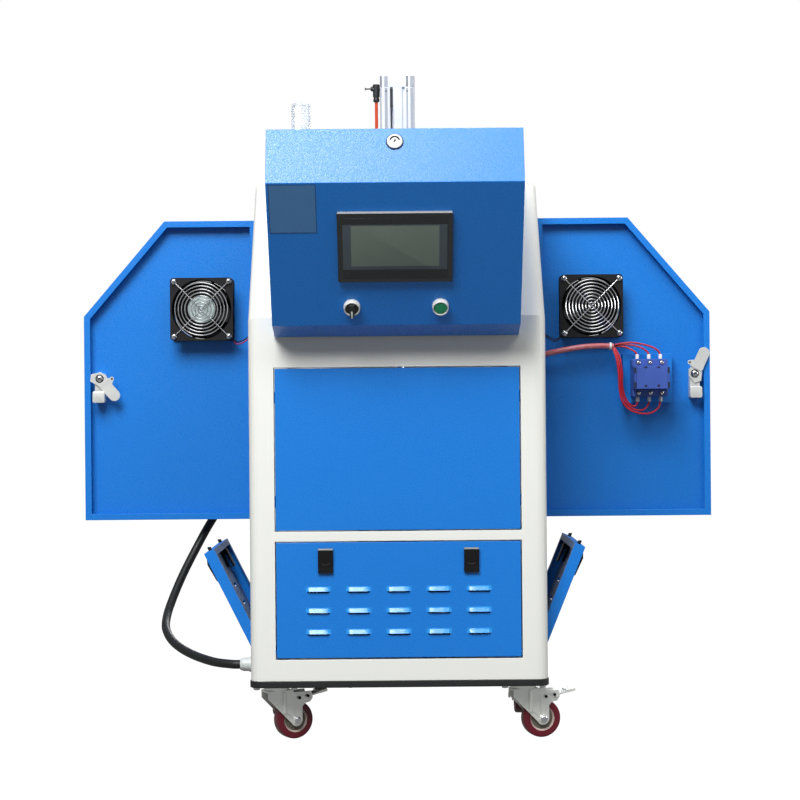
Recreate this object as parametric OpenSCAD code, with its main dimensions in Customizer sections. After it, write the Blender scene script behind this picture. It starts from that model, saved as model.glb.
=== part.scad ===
// Hot melt glue unit on castors: cabinet with side service doors, drop flaps, a console hood and an air press.
// Millimetres. Origin on the floor under the middle of the unit, +X right of the front, +Y to the back, +Z up.

/* [Cabinet] */
// Width over the side frames
cab_w = 520; // [480:5:560]
// Depth from the front plane to the rear panel
cab_d = 400; // [390:5:440]
// Height of the base plate's underside
base_z = 90; // [80:1:110]
// Thickness of the base plate
base_t = 12; // [8:1:16]
// Height where the front turns into the slope
slope_z = 736; // [730:2:760]
// Slope of the upper front from the horizontal
slope_a = 49.4; // [46:0.2:52]
// Height of the flat top
top_z = 1000; // [980:5:1030]
// Radius of the rounded outer edges
corner_r = 22; // [14:1:24]
// Sheet thickness of the cabinet
sheet = 2; // [1.5:0.1:3]
// Depth of the flanges that line each opening
return_d = 18; // [14:1:24]
// Gap round each inset panel
panel_gap = 2; // [1.5:0.1:3]

/* [Panels] */
// Width of the front panels
panel_w = 426; // [380:2:440]
// Height of the bottom edge of the upper front panel and the doors
upper_z = 364; // [360:1:380]
// Height of the upper front panel
upper_h = 282; // [240:2:300]
// Height of the bottom edge of the flaps
flap_z = 142; // [138:1:150]
// Height of a flap
flap_h = 201; // [180:1:204]
// Depth of a panel's folded rim
pan_d = 20; // [16:1:24]
// Sheet thickness of the panels
pan_t = 1.5; // [1:0.1:2]
// Width of the lip folded round a panel's inside
lip_w = 12; // [8:1:16]
// Depth position of the side flaps' front edge
flap_y = 60; // [54:1:70]
// Length of a side flap
flap_len = 280; // [260:2:300]
// How far the left flap leans open
left_lean = 26.5; // [15:0.5:30]
// How far the right flap leans open
right_lean = 22; // [15:0.5:30]
// Radius of the flap pivot studs
stud_r = 3; // [2:0.1:4]

/* [Louvres and slide latches] */
// Width of a louvre
louvre_w = 40; // [30:1:46]
// Distance between louvre columns
louvre_pitch = 70; // [60:0.5:72]
// Distance between louvre rows
louvre_rise = 37; // [30:1:40]
// Height of the lowest louvre row over the flap's bottom edge
louvre_z = 42; // [36:1:50]
// Radius of a louvre's pressed hood
louvre_r = 9; // [8:0.5:10]
// How far a louvre stands out
louvre_out = 5; // [3:0.5:6]
// Width of a slide latch
latch_w = 27; // [22:1:32]
// Height of a slide latch
latch_h = 43; // [36:1:48]
// Travel of a slide latch
latch_travel = 7; // [5:0.5:8]
// Distance of the front flap's latches from the middle
latch_x = 127; // [100:1:150]

/* [Doors] */
// Depth position of a door's front edge when closed
door_y0 = 52; // [48:1:60]
// Height of a door's top edge
door_top = 937; // [900:1:945]
// Width of the frame left along the slope
chamfer_in = 26; // [25:1:34]
// Distance of the hinge axis from the side frame
hinge_off = 5; // [4.8:0.1:6]
// Radius of a hinge knuckle
knuckle_r = 4.5; // [4:0.1:4.7]
// Radius of a hinge pin
pin_r = 2.5; // [2:0.1:3]
// How far the doors stand open
door_open = 90; // [60:5:90]

/* [Fans] */
// Side of a fan's square frame
fan_s = 120; // [110:1:124]
// Depth of a fan
fan_d = 38; // [32:1:38]
// Height of the fan centres
fan_z = 767; // [745:1:780]
// Distance of the fan centres from the hinge axis
fan_in = 108; // [100:1:120]
// Number of fan blades
fan_blades = 7; // [5:1:9]

/* [Console] */
// Width of the console hood
hood_w = 424; // [400:2:440]
// How far the hood's fold stands out from the front plane
nose = 222; // [205:1:235]
// Height of the hood's flat top
hood_top = 1037; // [1030:1:1050]
// Width of the operator panel
hmi_w = 196; // [170:1:210]
// Height of the operator panel
hmi_h = 134; // [110:1:145]
// Distance of each control from the middle
control_x = 75; // [60:1:90]
// Radius of a control's ring
ring_r = 14; // [12:0.5:16]
// Radius of the beacon's lens
beacon_r = 16.5; // [12:0.5:20]
// Height of the beacon
beacon_h = 70; // [50:1:80]

/* [Press and melting] */
// Side of the air cylinder's square profile
cyl_s = 65; // [58:1:70]
// Height of the air cylinder
cyl_h = 195; // [170:1:220]
// Distance of the press axis from the rear panel
press_back = 120; // [110:1:125]
// Sideways position of the press axis
press_x = 5; // [0:1:10]
// Radius of the piston rod
rod_r = 10; // [8:0.5:12]
// Stroke of the ram
stroke = 120; // [80:5:122]
// Inside radius of the melt tank
tank_r = 80; // [70:1:84]
// Height of the tank's rim
tank_top = 600; // [580:5:620]
// Height of the pump shaft
shaft_z = 230; // [225:1:240]
// Radius of the pump shaft
shaft_r = 9; // [7:0.5:11]
// Radius of the hose outlets' bore
outlet_r = 6; // [5:0.5:7]
// How far the hose outlets stand out at the rear
outlet_len = 34; // [28:1:40]

/* [Castors] */
// Height of the cabinet's datum above the floor, which the castors make up
datum_z = 8; // [6:1:12]
// Wheel radius
wheel_r = 34; // [30:0.5:35]
// Wheel width
wheel_w = 24; // [20:0.5:26]
// Distance of the castors from the cabinet's sides
castor_in = 42; // [42:1:65]
// Depth position of the front castors
castor_y = 55; // [50:1:70]
// Distance of a front wheel's axle behind its swivel axis
trail = 32; // [26:1:34]
// Swivel angle of the left front castor
left_swivel = 26; // [-45:1:60]
// Swivel angle of the right front castor
right_swivel = 13; // [-45:1:60]

/* [Fits] */
// Radial clearance of a running fit
run_clear = 0.05; // [0.02:0.01:0.1]
// Gap between parts that pass each other
pass_gap = 0.4; // [0.3:0.05:0.6]
// Gap that keeps bolted pieces apart as solids
seat_gap = 0.05; // [0.02:0.01:0.1]

/* [Hidden] */
$fn = 48;
front_y = (nose - cab_d - outlet_len) / 2;
body_z = base_z + base_t;
half_w = cab_w / 2;
split = corner_r + 1;
edge_steps = 6;
tan_s = tan(slope_a);
cos_s = cos(slope_a);
slope_run = (top_z - slope_z) / tan_s;
door_y1 = cab_d - 16;
hinge_x = half_w + hinge_off;
hinge_y = door_y1 + 4;
hinge_heights = [440, 850];
hinge_l = 24;
chamfer = max(chamfer_in, split + panel_gap + sheet + seat_gap);
chamfer_low = slope_z + door_y0 * tan_s - chamfer / cos_s;
chamfer_top = (door_top - slope_z + chamfer / cos_s) / tan_s;
stud_in = 6;
stud_up = 10;
fold = [-nose, top_z - 55];
brow = [-nose + 32, hood_top];
chin = [-nose + 152, slope_z - 18];
hood_pin = [-7, slope_z - 29];
hood_heel = [-7, slope_z - 35];
hood_rear = slope_run - 24;
hood_t = 2;
face_len = norm(chin - fold);
face_a = atan2(chin[0] - fold[0], fold[1] - chin[1]);
brow_len = norm(brow - fold);
brow_a = -atan2(brow[0] - fold[0], brow[1] - fold[1]);
hmi_s = 0.2 * face_len + hmi_h / 2;
control_s = face_len - 38;
lock_s = 0.25 * brow_len;
recess_r = ring_r - 2.4;
cap_r = recess_r - pass_gap;
stem_r = 8;
lock_r = 13;
plug_r = 6;
beacon_x = -163;
cap_h = 22;
piston_h = 16;
piston_z = top_z + cap_h + 3;
ram_z = tank_top - 40;
tank_wall = 15;
deck_z = 345;
block_z = deck_z + 5;
block_h = 50;
outlet_z = block_z + 22;
outlet_x = [-45, 55];
press_y = cab_d - press_back;
shaft_y0 = press_y - 92;
shaft_y1 = press_y - 28;
valve_x = press_x - 55;
valve_z = top_z - 45;
elbow_z = top_z + cyl_h - 20;
tube_x = press_x - cyl_s / 2 - 7;
latch_y = door_y0 + 30;
latch_z = 636;
bracket_y = hinge_y - 215;
bracket_z = 628;
bracket_s = 94;
bracket_off = 27;
gland_y = 80;
gland_z = body_z + 20;
cord_r = 8;
axle_r = 4;
castor_x = half_w - castor_in;
rear_x = half_w - 30;
axle_z = wheel_r - datum_z;
floor_z = -datum_z;
king_r = 5;
pedal_pin = [trail + 24, 64];
rear_y = cab_d - 62;

// Power lead from the gland to the floor: x, depth behind the front plane, height
cord_route = [
    [-262, 80, 122], [-274, 80, 122], [-286, 80, 122], [-300, 84, 122], [-335, 106, 124], [-379, 150, 133],
    [-413, 195, 147], [-433, 240, 166],
    [-437, 285, 187], [-430, 325, 217], [-415, 365, 258], [-394, 398, 303], [-366, 420, 355], [-330, 430, 408],
    [-280, 430, 456], [-244, 428, 478], [-226, 428, 483.6], [-204, 428, 483.6], [-186, 428, 478], [-158, 428, 456],
    [-134, 428, 392], [-130, 428, 310], [-130, 430, 220], [-128, 450, 140], [-122, 505, 72],
    [-112, 580, floor_z + 36], [-104, 645, floor_z + 14], [-100, 690, floor_z + 9], [-100, 739.8, floor_z + 9]
];
coil_c = [-15, 740];
coil_r = 85;
coil_turns = 3;
coil_pitch = 17;
// Free end from the coil to the plug
tail_route = [[-100, 740, floor_z + 60], [-92, 792, floor_z + 60], [-60, 832, floor_z + 56], [-12, 850, floor_z + 44],
    [34, 847, floor_z + 31], [62, 832.7, floor_z + 28], [80, 823.5, floor_z + 28]];
// Wires of the right door: x and depth from the hinge axis, height, at the photographed pose
trunk_route = [[-29.2, -16, 662], [-22, -16.4, 662.2], [-10, -30, 668], [25, -42, 682],
    [80, -46, 697], [130, -46, 694], [149, -46, 688]];
upper_wires = [
    [[149, -46, 688], [163, -50, 693], [179, -57, 691], [190, -60, 680], [192, -60, 668], [192, -60, 655.05]],
    [[151, -48, 691], [173, -53, 699], [197, -58, 698], [211, -60, 684], [214, -60, 670], [214, -60, 655.05]],
    [[151, -50, 692], [183, -55, 706], [217, -59, 704], [234, -60, 688], [236, -60, 670], [236, -60, 655.05]]
];
lower_wires = [
    [[150, -52, 684], [159, -58, 650], [161, -60, 610], [171, -61, 576], [185, -61, 568], [192, -60, 582], [192, -60, 600.95]],
    [[148, -54, 681], [153, -62, 648], [155, -64, 605], [169, -66, 565], [195, -66, 554], [212, -63, 570], [214, -60, 600.95]],
    [[146, -55, 679], [147, -66, 645], [149, -68, 600], [165, -70, 556], [205, -71, 543], [232, -66, 560], [236, -60, 600.95]]
];
wire_ties = [[149, -48, 689], [148, -53, 683]];

front_frame();
side_frames();
top_cover();
base_plate();
rear_panel();
front_upper_panel();
hinge_pins();
press_cylinder();
air_fittings();
air_tube();
reed_switch();
melt_tank();
gear_pump();
drive_motor();
manifold();
electrical_plate();
cable_gland();
supply_cable();
cable_coil();
supply_plug();
castor_mounts();
left_door();
left_fan_frame();
left_fan_guard();
left_fan_rotor();
left_latch_body();
left_latch_lever();
right_door();
right_fan_frame();
right_fan_guard();
right_fan_rotor();
right_latch_body();
right_latch_lever();
contactor_bracket();
contactor();
right_door_wiring();
front_flap();
left_flap();
right_flap();
front_flap_latches();
left_flap_latches();
right_flap_latches();
console_hood();
hmi_bezel();
hmi_screen();
control_rings();
selector_knob();
push_button();
lock_plug();
beacon();
ram();
drive_coupling();
left_fork();
right_fork();
front_left_wheel();
front_right_wheel();
rear_left_wheel();
rear_right_wheel();
left_pedal();
right_pedal();

// Helpers: points are (depth, height) outlines, counter-clockwise
function unit(v) = v / norm(v);
function turned(a) = [cos(a), sin(a)];
function inward(a, b) = let (d = unit(b - a)) [-d[1], d[0]];
function meet(n, c, m, e) = let (q = n[0] * m[1] - n[1] * m[0]) [(c * m[1] - e * n[1]) / q, (n[0] * e - m[0] * c) / q];
function inset_each(p, k) = [
    for (i = [0 : len(p) - 1])
        let (a = p[(i + len(p) - 1) % len(p)], b = p[i], c = p[(i + 1) % len(p)], n = inward(a, b), m = inward(b, c))
        meet(n, n * b + k[(i + len(p) - 1) % len(p)], m, m * b + k[i])
];
function inset(p, k) = inset_each(p, [for (i = p) k]);
function door_outline() = [[door_y0, upper_z], [door_y1, upper_z], [door_y1, door_top], [chamfer_top, door_top],
    [door_y0, chamfer_low]];
function flap_outline(g) = [[flap_y - g, flap_z - 1.5 * g], [flap_y + flap_len + g, flap_z - 1.5 * g],
    [flap_y + flap_len + g, flap_z + flap_h + g], [flap_y - g, flap_z + flap_h + g]];
function profile(k) = [[k, body_z], [cab_d, body_z], [cab_d, top_z - k],
    [(top_z - k - slope_z + k / cos_s) / tan_s, top_z - k], [k, slope_z + k * tan_s - k / cos_s]];
function hood_outline() = [brow, fold, chin, hood_heel, [-2, slope_z - 29], [-2, slope_z + 1],
    [hood_rear, slope_z + hood_rear * tan_s + 3], [hood_rear, hood_top]];
function bend(a, b, c, d, t) = 0.5 * (2 * b + (c - a) * t + (2 * a - 5 * b + 4 * c - d) * t * t
    + (3 * b - a - 3 * c + d) * t * t * t);
function smooth(p, m) = concat([
    for (i = [0 : len(p) - 2], j = [0 : m - 1])
        bend(p[max(i - 1, 0)], p[i], p[i + 1], p[min(i + 2, len(p) - 1)], j / m)
], [p[len(p) - 1]]);
function heading(p) = [for (i = [0 : len(p) - 1]) unit(p[min(i + 1, len(p) - 1)] - p[max(i - 1, 0)])];
function carry(t, i, u) = i == len(t) ? [] : let (v = unit(u - (u * t[i]) * t[i])) concat([v], carry(t, i + 1, v));

module place() translate([0, front_y, datum_z]) children();

module along_x(w) rotate([90, 0, 90]) linear_extrude(w) children();

module across(w) rotate([90, 0, 90]) linear_extrude(w, center = true) children();

module along_y(d) translate([0, d, 0]) rotate([90, 0, 0]) linear_extrude(d) children();

module rounded(w, h, r) {
    square([w - 2 * r, h], center = true);
    square([w, h - 2 * r], center = true);
    for (sx = [-1, 1], sy = [-1, 1])
        translate([sx * (w / 2 - r), sy * (h / 2 - r)]) circle(r);
}

// An outline across the unit with its two front corners rounded, used to round long edges
module bull_nose(w, k, r, d) {
    left = [for (i = [0 : edge_steps]) [r - w / 2, k + r] + r * turned(180 + 90 * i / edge_steps)];
    right = [for (i = [0 : edge_steps]) [w / 2 - r, k + r] + r * turned(270 + 90 * i / edge_steps)];
    polygon(concat([[w / 2, k + r + d], [-w / 2, k + r + d]], left, right));
}

module tube(p, r, n) {
    t = heading(p);
    u = carry(t, 0, abs(t[0][2]) > 0.9 ? [1, 0, 0] : [0, 0, 1]);
    polyhedron(
        [for (i = [0 : len(p) - 1], k = [0 : n - 1])
            p[i] + r * (cos(360 * k / n) * u[i] + sin(360 * k / n) * cross(t[i], u[i]))],
        concat(
            [[for (k = [0 : n - 1]) k]],
            [[for (k = [n - 1 : -1 : 0]) (len(p) - 1) * n + k]],
            [for (i = [0 : len(p) - 2], k = [0 : n - 1], h = [0, 1])
                h == 0 ? [i * n + k, (i + 1) * n + (k + 1) % n, i * n + (k + 1) % n]
                    : [i * n + k, (i + 1) * n + k, (i + 1) * n + (k + 1) % n]]
        )
    );
}

// Cabinet
module body_solid(k) {
    intersection() {
        translate([0, 0, body_z - k]) linear_extrude(top_z) bull_nose(cab_w - 2 * k, k, corner_r - k, cab_d - corner_r);
        translate([0, 0, slope_z]) rotate([slope_a - 90, 0, 0]) linear_extrude(3000, center = true)
            bull_nose(cab_w - 2 * k, k, corner_r - k, 3000);
        translate([0, 0, top_z]) rotate([-90, 0, 0]) linear_extrude(3000, center = true)
            bull_nose(cab_w - 2 * k, k, corner_r - k, 3000);
    }
}

module shell() {
    difference() {
        body_solid(0);
        body_solid(sheet);
    }
}

module front_zone() {
    p = profile(split);
    lift = (slope_z - p[4][1]) / split;
    across(cab_w + 10) polygon([[-5, 0], [split, 0], p[4], [-5, slope_z + 5 * lift]]);
}

module front_hole(w, z0, z1) {
    translate([-w / 2, -1, z0]) cube([w, return_d + 2, z1 - z0]);
}

module front_return(w, z0, z1) {
    translate([-w / 2 - sheet, sheet / 2, z0 - sheet])
        cube([w + 2 * sheet, return_d - sheet / 2, z1 - z0 + 2 * sheet]);
}

module front_frame() {
    w = panel_w + 2 * panel_gap;
    u = [upper_z - panel_gap, upper_z + upper_h + panel_gap];
    l = [flap_z - 1.5 * panel_gap, flap_z + flap_h + panel_gap];
    color([0.91, 0.92, 0.88]) place() difference() {
        union() {
            intersection() {
                shell();
                front_zone();
            }
            front_return(w, u[0], u[1]);
            front_return(w, l[0], l[1]);
        }
        front_hole(w, u[0], u[1]);
        front_hole(w, l[0], l[1]);
        translate([0, stud_in, flap_z + stud_up]) rotate([0, 90, 0])
            cylinder(r = stud_r + run_clear, h = w + 2 * sheet + 2, center = true);
        for (s = [-1, 1])
            translate([s * latch_x - 11, 6, l[1] - 1]) cube([22, 10, sheet + 2]);
    }
}

module side_wall() {
    hole = inset(door_outline(), -panel_gap);
    low = flap_outline(panel_gap);
    difference() {
        union() {
            translate([half_w - sheet, 0, 0]) along_x(sheet) polygon(profile(split));
            translate([half_w - return_d, 0, 0]) along_x(return_d - sheet / 2) polygon(inset(hole, -sheet));
            translate([half_w - return_d, 0, 0]) along_x(return_d - sheet / 2) polygon(inset(low, -sheet));
        }
        translate([half_w - return_d - 1, 0, 0]) along_x(return_d + 2) polygon(hole);
        translate([half_w - return_d - 1, 0, 0]) along_x(return_d + 2) polygon(low);
        translate([half_w - stud_in, 0, flap_z + stud_up]) rotate([-90, 0, 0])
            cylinder(r = stud_r + run_clear, h = cab_d - 20);
        for (y = flap_latch_y())
            translate([half_w - 16, y - 11, flap_z + flap_h]) cube([10, 22, 10]);
    }
}

function flap_latch_y() = [flap_y + 0.14 * flap_len, flap_y + 0.86 * flap_len];

module side_frames() {
    color([0.91, 0.92, 0.88]) place() {
        side_wall();
        mirror([1, 0, 0]) difference() {
            side_wall();
            translate([half_w - 5, gland_y, gland_z]) rotate([0, 90, 0]) cylinder(r = 10, h = 10);
        }
    }
}

module top_cover() {
    color([0.91, 0.92, 0.88]) place() difference() {
        shell();
        front_zone();
        across(cab_w + 10) polygon(inset_each(profile(split), [60, -60, 0, 0, 0]));
        across(cab_w + 10) polygon([[-20, 0], [cab_d + 20, 0], [cab_d + 20, body_z + 60], [-20, body_z + 60]]);
        translate([press_x, press_y, top_z - 10]) cylinder(r = rod_r + 3, h = 20);
        translate([tube_x, press_y, top_z - 10]) cylinder(r = 5, h = 20);
        translate([press_x - 11, press_y - cyl_s / 2 - 6, top_z - 10]) cylinder(r = 3.5, h = 20);
        translate([0, 0, slope_z]) rotate([slope_a - 90, 0, 0])
            translate([-cab_w / 4, -10, 0.3 * slope_run]) cube([cab_w / 2, 30, 0.85 * slope_run]);
    }
}

module base_plate() {
    color([0.2, 0.21, 0.23]) place() translate([0, 0, base_z]) linear_extrude(base_t)
        intersection() {
            bull_nose(cab_w + 3, -1, corner_r, cab_d + 1 - corner_r);
            translate([-half_w - 5, -5]) square([cab_w + 10, cab_d + 10]);
        }
}

module rear_panel() {
    color([0.91, 0.92, 0.88]) place() {
        difference() {
            intersection() {
                body_solid(sheet + 0.2);
                translate([-half_w, cab_d - sheet, body_z + 0.2]) cube([cab_w, sheet, top_z]);
            }
            for (x = outlet_x)
                translate([x, cab_d - 10, outlet_z]) rotate([-90, 0, 0]) cylinder(r = 19, h = 20);
            translate([valve_x, cab_d - 10, valve_z]) rotate([-90, 0, 0]) cylinder(r = 9 + pass_gap, h = 20);
            for (i = [-2 : 2], j = [0 : 2])
                translate([i * louvre_pitch, cab_d, 640 + j * louvre_rise]) mirror([0, 1, 0]) louvre_slot();
        }
        for (i = [-2 : 2], j = [0 : 2])
            translate([i * louvre_pitch, cab_d, 640 + j * louvre_rise]) mirror([0, 1, 0]) louvre();
        for (s = [-1, 1], z = [body_z + 30, 420, 720, top_z - 45])
            translate([s * (half_w - 24), cab_d - 0.5, z]) rotate([-90, 0, 0]) cylinder(r = 5, h = 3.5);
        translate([-223, cab_d - 0.5, 466]) difference() {
            cube([16, 38, 36]);
            translate([-1, 28 + 0.5, 18]) rotate([0, 90, 0]) cylinder(r = cord_r + 1, h = 18);
        }
    }
}

module front_upper_panel() {
    color([0.12, 0.48, 0.84]) place() translate([0, 0, upper_z]) {
        difference() {
            translate([-panel_w / 2, 0, 0]) cube([panel_w, pan_d - 4, upper_h]);
            translate([-panel_w / 2 + pan_t, pan_t, pan_t]) cube([panel_w - 2 * pan_t, pan_d, upper_h - 2 * pan_t]);
        }
        for (s = [-1, 1], z = [40, upper_h - 60])
            translate([s * (panel_w + panel_gap - 0.5) / 2, pan_d - 7, z + 10])
                cube([panel_gap + 0.5, 5, 20], center = true);
    }
}

module hinge_barrel(z) {
    translate([hinge_x, hinge_y, z]) cylinder(r = knuckle_r, h = hinge_l);
}

module hinge_pins() {
    color([0.7, 0.71, 0.7]) place() {
        for (s = [0, 1], z = hinge_heights)
            mirror([s, 0, 0]) {
                hinge_barrel(z - hinge_l);
                translate([hinge_x, hinge_y, z - hinge_l]) cylinder(r = pin_r, h = 2 * hinge_l);
                translate([half_w, hinge_y, z - hinge_l]) cube([3, 11, hinge_l]);
            }
        for (s = [0, 1])
            mirror([s, 0, 0]) {
                translate([190, hood_pin[0], hood_pin[1]]) rotate([0, 90, 0])
                    cylinder(r = 3, h = hood_w / 2 - 190 + 2);
                translate([190, hood_pin[0], hood_pin[1] - 1.5]) cube([12, -hood_pin[0], 4]);
            }
    }
}

// Flaps: drawn upright with the skin on y = 0 facing -y, bottom edge on z = 0
module louvre_slot() {
    translate([-louvre_w / 2 + 2, -0.5, 0]) cube([louvre_w - 4, pan_t + sheet, louvre_r - 3]);
}

module louvre() {
    in = louvre_r - louvre_out;
    intersection() {
        translate([-louvre_w / 2, -louvre_out - 1, 0]) cube([louvre_w, louvre_out + 1.5, louvre_r]);
        difference() {
            translate([-louvre_w / 2, in, 0]) rotate([0, 90, 0]) cylinder(r = louvre_r, h = louvre_w);
            translate([1.2 - louvre_w / 2, in, 0]) rotate([0, 90, 0]) cylinder(r = louvre_r - 1.2, h = louvre_w - 2.4);
        }
    }
}

module flap_pan(w, cols, pitch, lx) {
    difference() {
        translate([-w / 2, 0, 0]) cube([w, pan_d, flap_h]);
        translate([-w / 2 + pan_t, pan_t, pan_t]) cube([w - 2 * pan_t, pan_d - 2 * pan_t, flap_h - 2 * pan_t]);
        translate([-w / 2 + lip_w, pan_d - 5, lip_w]) cube([w - 2 * lip_w, pan_d, flap_h - 2 * lip_w]);
        for (i = [0 : cols - 1], j = [0 : 2])
            translate([(i - (cols - 1) / 2) * pitch, 0, louvre_z + j * louvre_rise]) louvre_slot();
        for (x = lx) {
            translate([x - 9, -1, flap_h - latch_h - 8]) cube([18, pan_t + 2, latch_h - 7]);
            translate([x - 9, 5.5, flap_h - 3]) cube([18, 7, 6]);
        }
    }
    for (i = [0 : cols - 1], j = [0 : 2])
        translate([(i - (cols - 1) / 2) * pitch, 0, louvre_z + j * louvre_rise]) louvre();
    for (s = [-1, 1])
        translate([s * (w / 2 - 1), stud_in, stud_up]) rotate([0, s * 90, 0])
            cylinder(r = stud_r, h = panel_gap + sheet + 4);
}

// One slide latch: face plate with a finger scoop, stem through the slot, inner plate and tongue
module slide_latch(x, up) {
    z1 = flap_h - 12 - latch_travel + up;
    translate([x, 0, z1]) {
        difference() {
            translate([-latch_w / 2, 0, -latch_h]) along_x(latch_w)
                polygon([[-pass_gap, 0], [-4.5, 0], [-6.5, latch_h - 9], [-3, latch_h], [-pass_gap, latch_h]]);
            translate([0, -9.5, 0.5 - latch_h / 2]) rotate([0, 90, 0]) cylinder(r = 7, h = 15, center = true);
        }
        translate([-8, -pass_gap - 1, -latch_h + 14]) cube([16, pan_t + 2 * pass_gap + 2, 20]);
        translate([-latch_w / 2, pan_t + pass_gap, -latch_h + 6]) cube([latch_w, 3, latch_h - 8]);
        translate([-8, pan_t + pass_gap, -12]) cube([16, 9, 10]);
        translate([-8, 6.5, -12]) along_x(16) polygon([[0, 0], [5, 0], [5, 22 + latch_travel], [0, 24 + latch_travel]]);
    }
}

module on_front() translate([0, 0, flap_z]) children();

// A side flap is turned about its pivot so that it leans out of the right side wall
module on_side(lean) {
    translate([half_w - stud_in, 0, flap_z + stud_up]) rotate([0, lean, 0])
        translate([stud_in, flap_y + flap_len / 2, -stud_up]) rotate([0, 0, 90]) children();
}

function side_latches() = [-0.36 * flap_len, 0.36 * flap_len];

module front_flap() {
    color([0.12, 0.48, 0.84]) place() on_front() flap_pan(panel_w, 5, louvre_pitch, [-latch_x, latch_x]);
}

module left_flap() {
    color([0.12, 0.48, 0.84]) place() mirror([1, 0, 0]) on_side(left_lean)
        flap_pan(flap_len, 3, louvre_pitch, side_latches());
}

module right_flap() {
    color([0.12, 0.48, 0.84]) place() on_side(right_lean) flap_pan(flap_len, 3, louvre_pitch, side_latches());
}

module front_flap_latches() {
    color([0.09, 0.09, 0.1]) place() on_front() {
        slide_latch(-latch_x, 0);
        slide_latch(latch_x, 0);
    }
}

module left_flap_latches() {
    color([0.09, 0.09, 0.1]) place() mirror([1, 0, 0]) on_side(left_lean) {
        for (x = side_latches())
            slide_latch(x, latch_travel);
    }
}

module right_flap_latches() {
    color([0.09, 0.09, 0.1]) place() on_side(right_lean) {
        for (x = side_latches())
            slide_latch(x, latch_travel);
    }
}

// Doors: drawn closed in the right side wall, then opened about the hinge axis
module open_door() {
    translate([hinge_x, hinge_y, 0]) rotate([0, 0, door_open]) translate([-hinge_x, -hinge_y, 0]) children();
}

module at_fan() translate([half_w - pan_t - seat_gap, hinge_y - fan_in, fan_z]) rotate([0, -90, 0]) children();

module door_panel() {
    p = door_outline();
    difference() {
        union() {
            difference() {
                translate([half_w - pan_d, 0, 0]) along_x(pan_d) polygon(p);
                translate([half_w - pan_d + pan_t, 0, 0]) along_x(pan_d - 2 * pan_t) polygon(inset(p, pan_t));
                translate([half_w - pan_d - 1, 0, 0]) along_x(pan_t + 2) polygon(inset(p, lip_w));
            }
            for (z = hinge_heights) {
                translate([0, 0, pass_gap]) hinge_barrel(z);
                translate([half_w - 0.5, door_y1 - 14, z + pass_gap]) cube([3.5, 14, hinge_l]);
                translate([half_w + 0.6, door_y1 - 4, z + pass_gap]) cube([2.4, 8, hinge_l]);
            }
        }
        for (z = hinge_heights)
            translate([hinge_x, hinge_y, z - 1]) cylinder(r = pin_r + run_clear, h = hinge_l + 4);
        at_fan() translate([0, 0, -5]) cylinder(r = fan_s / 2 - 4, h = 10);
        translate([half_w - 5, latch_y, latch_z]) rotate([0, 90, 0]) cylinder(r = 6 + run_clear, h = 10);
    }
}

// Fan along z: mounting face on z = 0, guard side on z = fan_d
module fan_frame() {
    difference() {
        union() {
            for (z = [0, fan_d - 4])
                translate([0, 0, z]) linear_extrude(4) rounded(fan_s, fan_s, 7);
            cylinder(r = fan_s / 2 - 1, h = fan_d);
        }
        translate([0, 0, -1]) cylinder(r = fan_s / 2 - 3, h = fan_d + 2);
        for (sx = [-1, 1], sy = [-1, 1])
            translate([sx * (fan_s / 2 - 7.5), sy * (fan_s / 2 - 7.5), -1]) cylinder(r = 2.2, h = fan_d + 2);
    }
    cylinder(r = 27, h = 4);
    for (a = [20 : 90 : 290])
        rotate([0, 0, a]) translate([20, -3, 0]) cube([fan_s / 2 - 22, 6, 4]);
    cylinder(r = 3, h = fan_d - 10);
}

module fan_rotor() {
    difference() {
        union() {
            translate([0, 0, 5]) cylinder(r = 27, h = fan_d - 9);
            for (i = [0 : fan_blades - 1])
                rotate([0, 0, i * 360 / fan_blades]) intersection() {
                    translate([38, 0, (fan_d + 2) / 2]) rotate([38, 0, 0]) cube([32, 36, 1.8], center = true);
                    translate([0, 0, 5.5]) difference() {
                        cylinder(r = fan_s / 2 - 6, h = fan_d - 10);
                        cylinder(r = 24, h = fan_d);
                    }
                }
        }
        translate([0, 0, 4]) cylinder(r = 3 + run_clear, h = fan_d - 13);
    }
}

module fan_guard() {
    h = fan_d + 4;
    for (r = [14 : 7.4 : fan_s / 2])
        translate([0, 0, h]) rotate_extrude() translate([r, 0]) circle(1.1, $fn = 16);
    for (a = [45 : 90 : 315])
        rotate([0, 0, a]) {
            translate([13, 0, h - 1.8]) rotate([0, 90, 0]) cylinder(r = 1.3, h = fan_s * 0.707 - 31, $fn = 16);
            translate([fan_s * 0.707 - 10.6, 0, h - 1.8]) difference() {
                cylinder(r = 5, h = 1.6, center = true);
                cylinder(r = 2.4, h = 4, center = true);
            }
            translate([fan_s * 0.707 - 10.6, 0, fan_d + seat_gap]) difference() {
                cylinder(r = 4.6, h = 1.8);
                translate([0, 0, -1]) cylinder(r = 2.4, h = 4);
            }
        }
}

// Latch: lever plate, spindle and outside handle turn as one in the body
module latch_body() {
    difference() {
        union() {
            translate([half_w - pan_d, latch_y - 13, latch_z - 50]) cube([pan_d - pan_t - seat_gap, 26, 66]);
            translate([half_w - pan_d - 2, latch_y, latch_z - 34]) rotate([0, 90, 0]) cylinder(r = 9, h = 4);
            for (z = [-18, 10])
                translate([half_w - pan_d - 1.6, latch_y + 8, latch_z + z]) rotate([0, 90, 0]) cylinder(r = 2.6, h = 3);
        }
        translate([half_w - 40, latch_y, latch_z]) rotate([0, 90, 0]) cylinder(r = 6 + run_clear, h = 50);
    }
}

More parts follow.
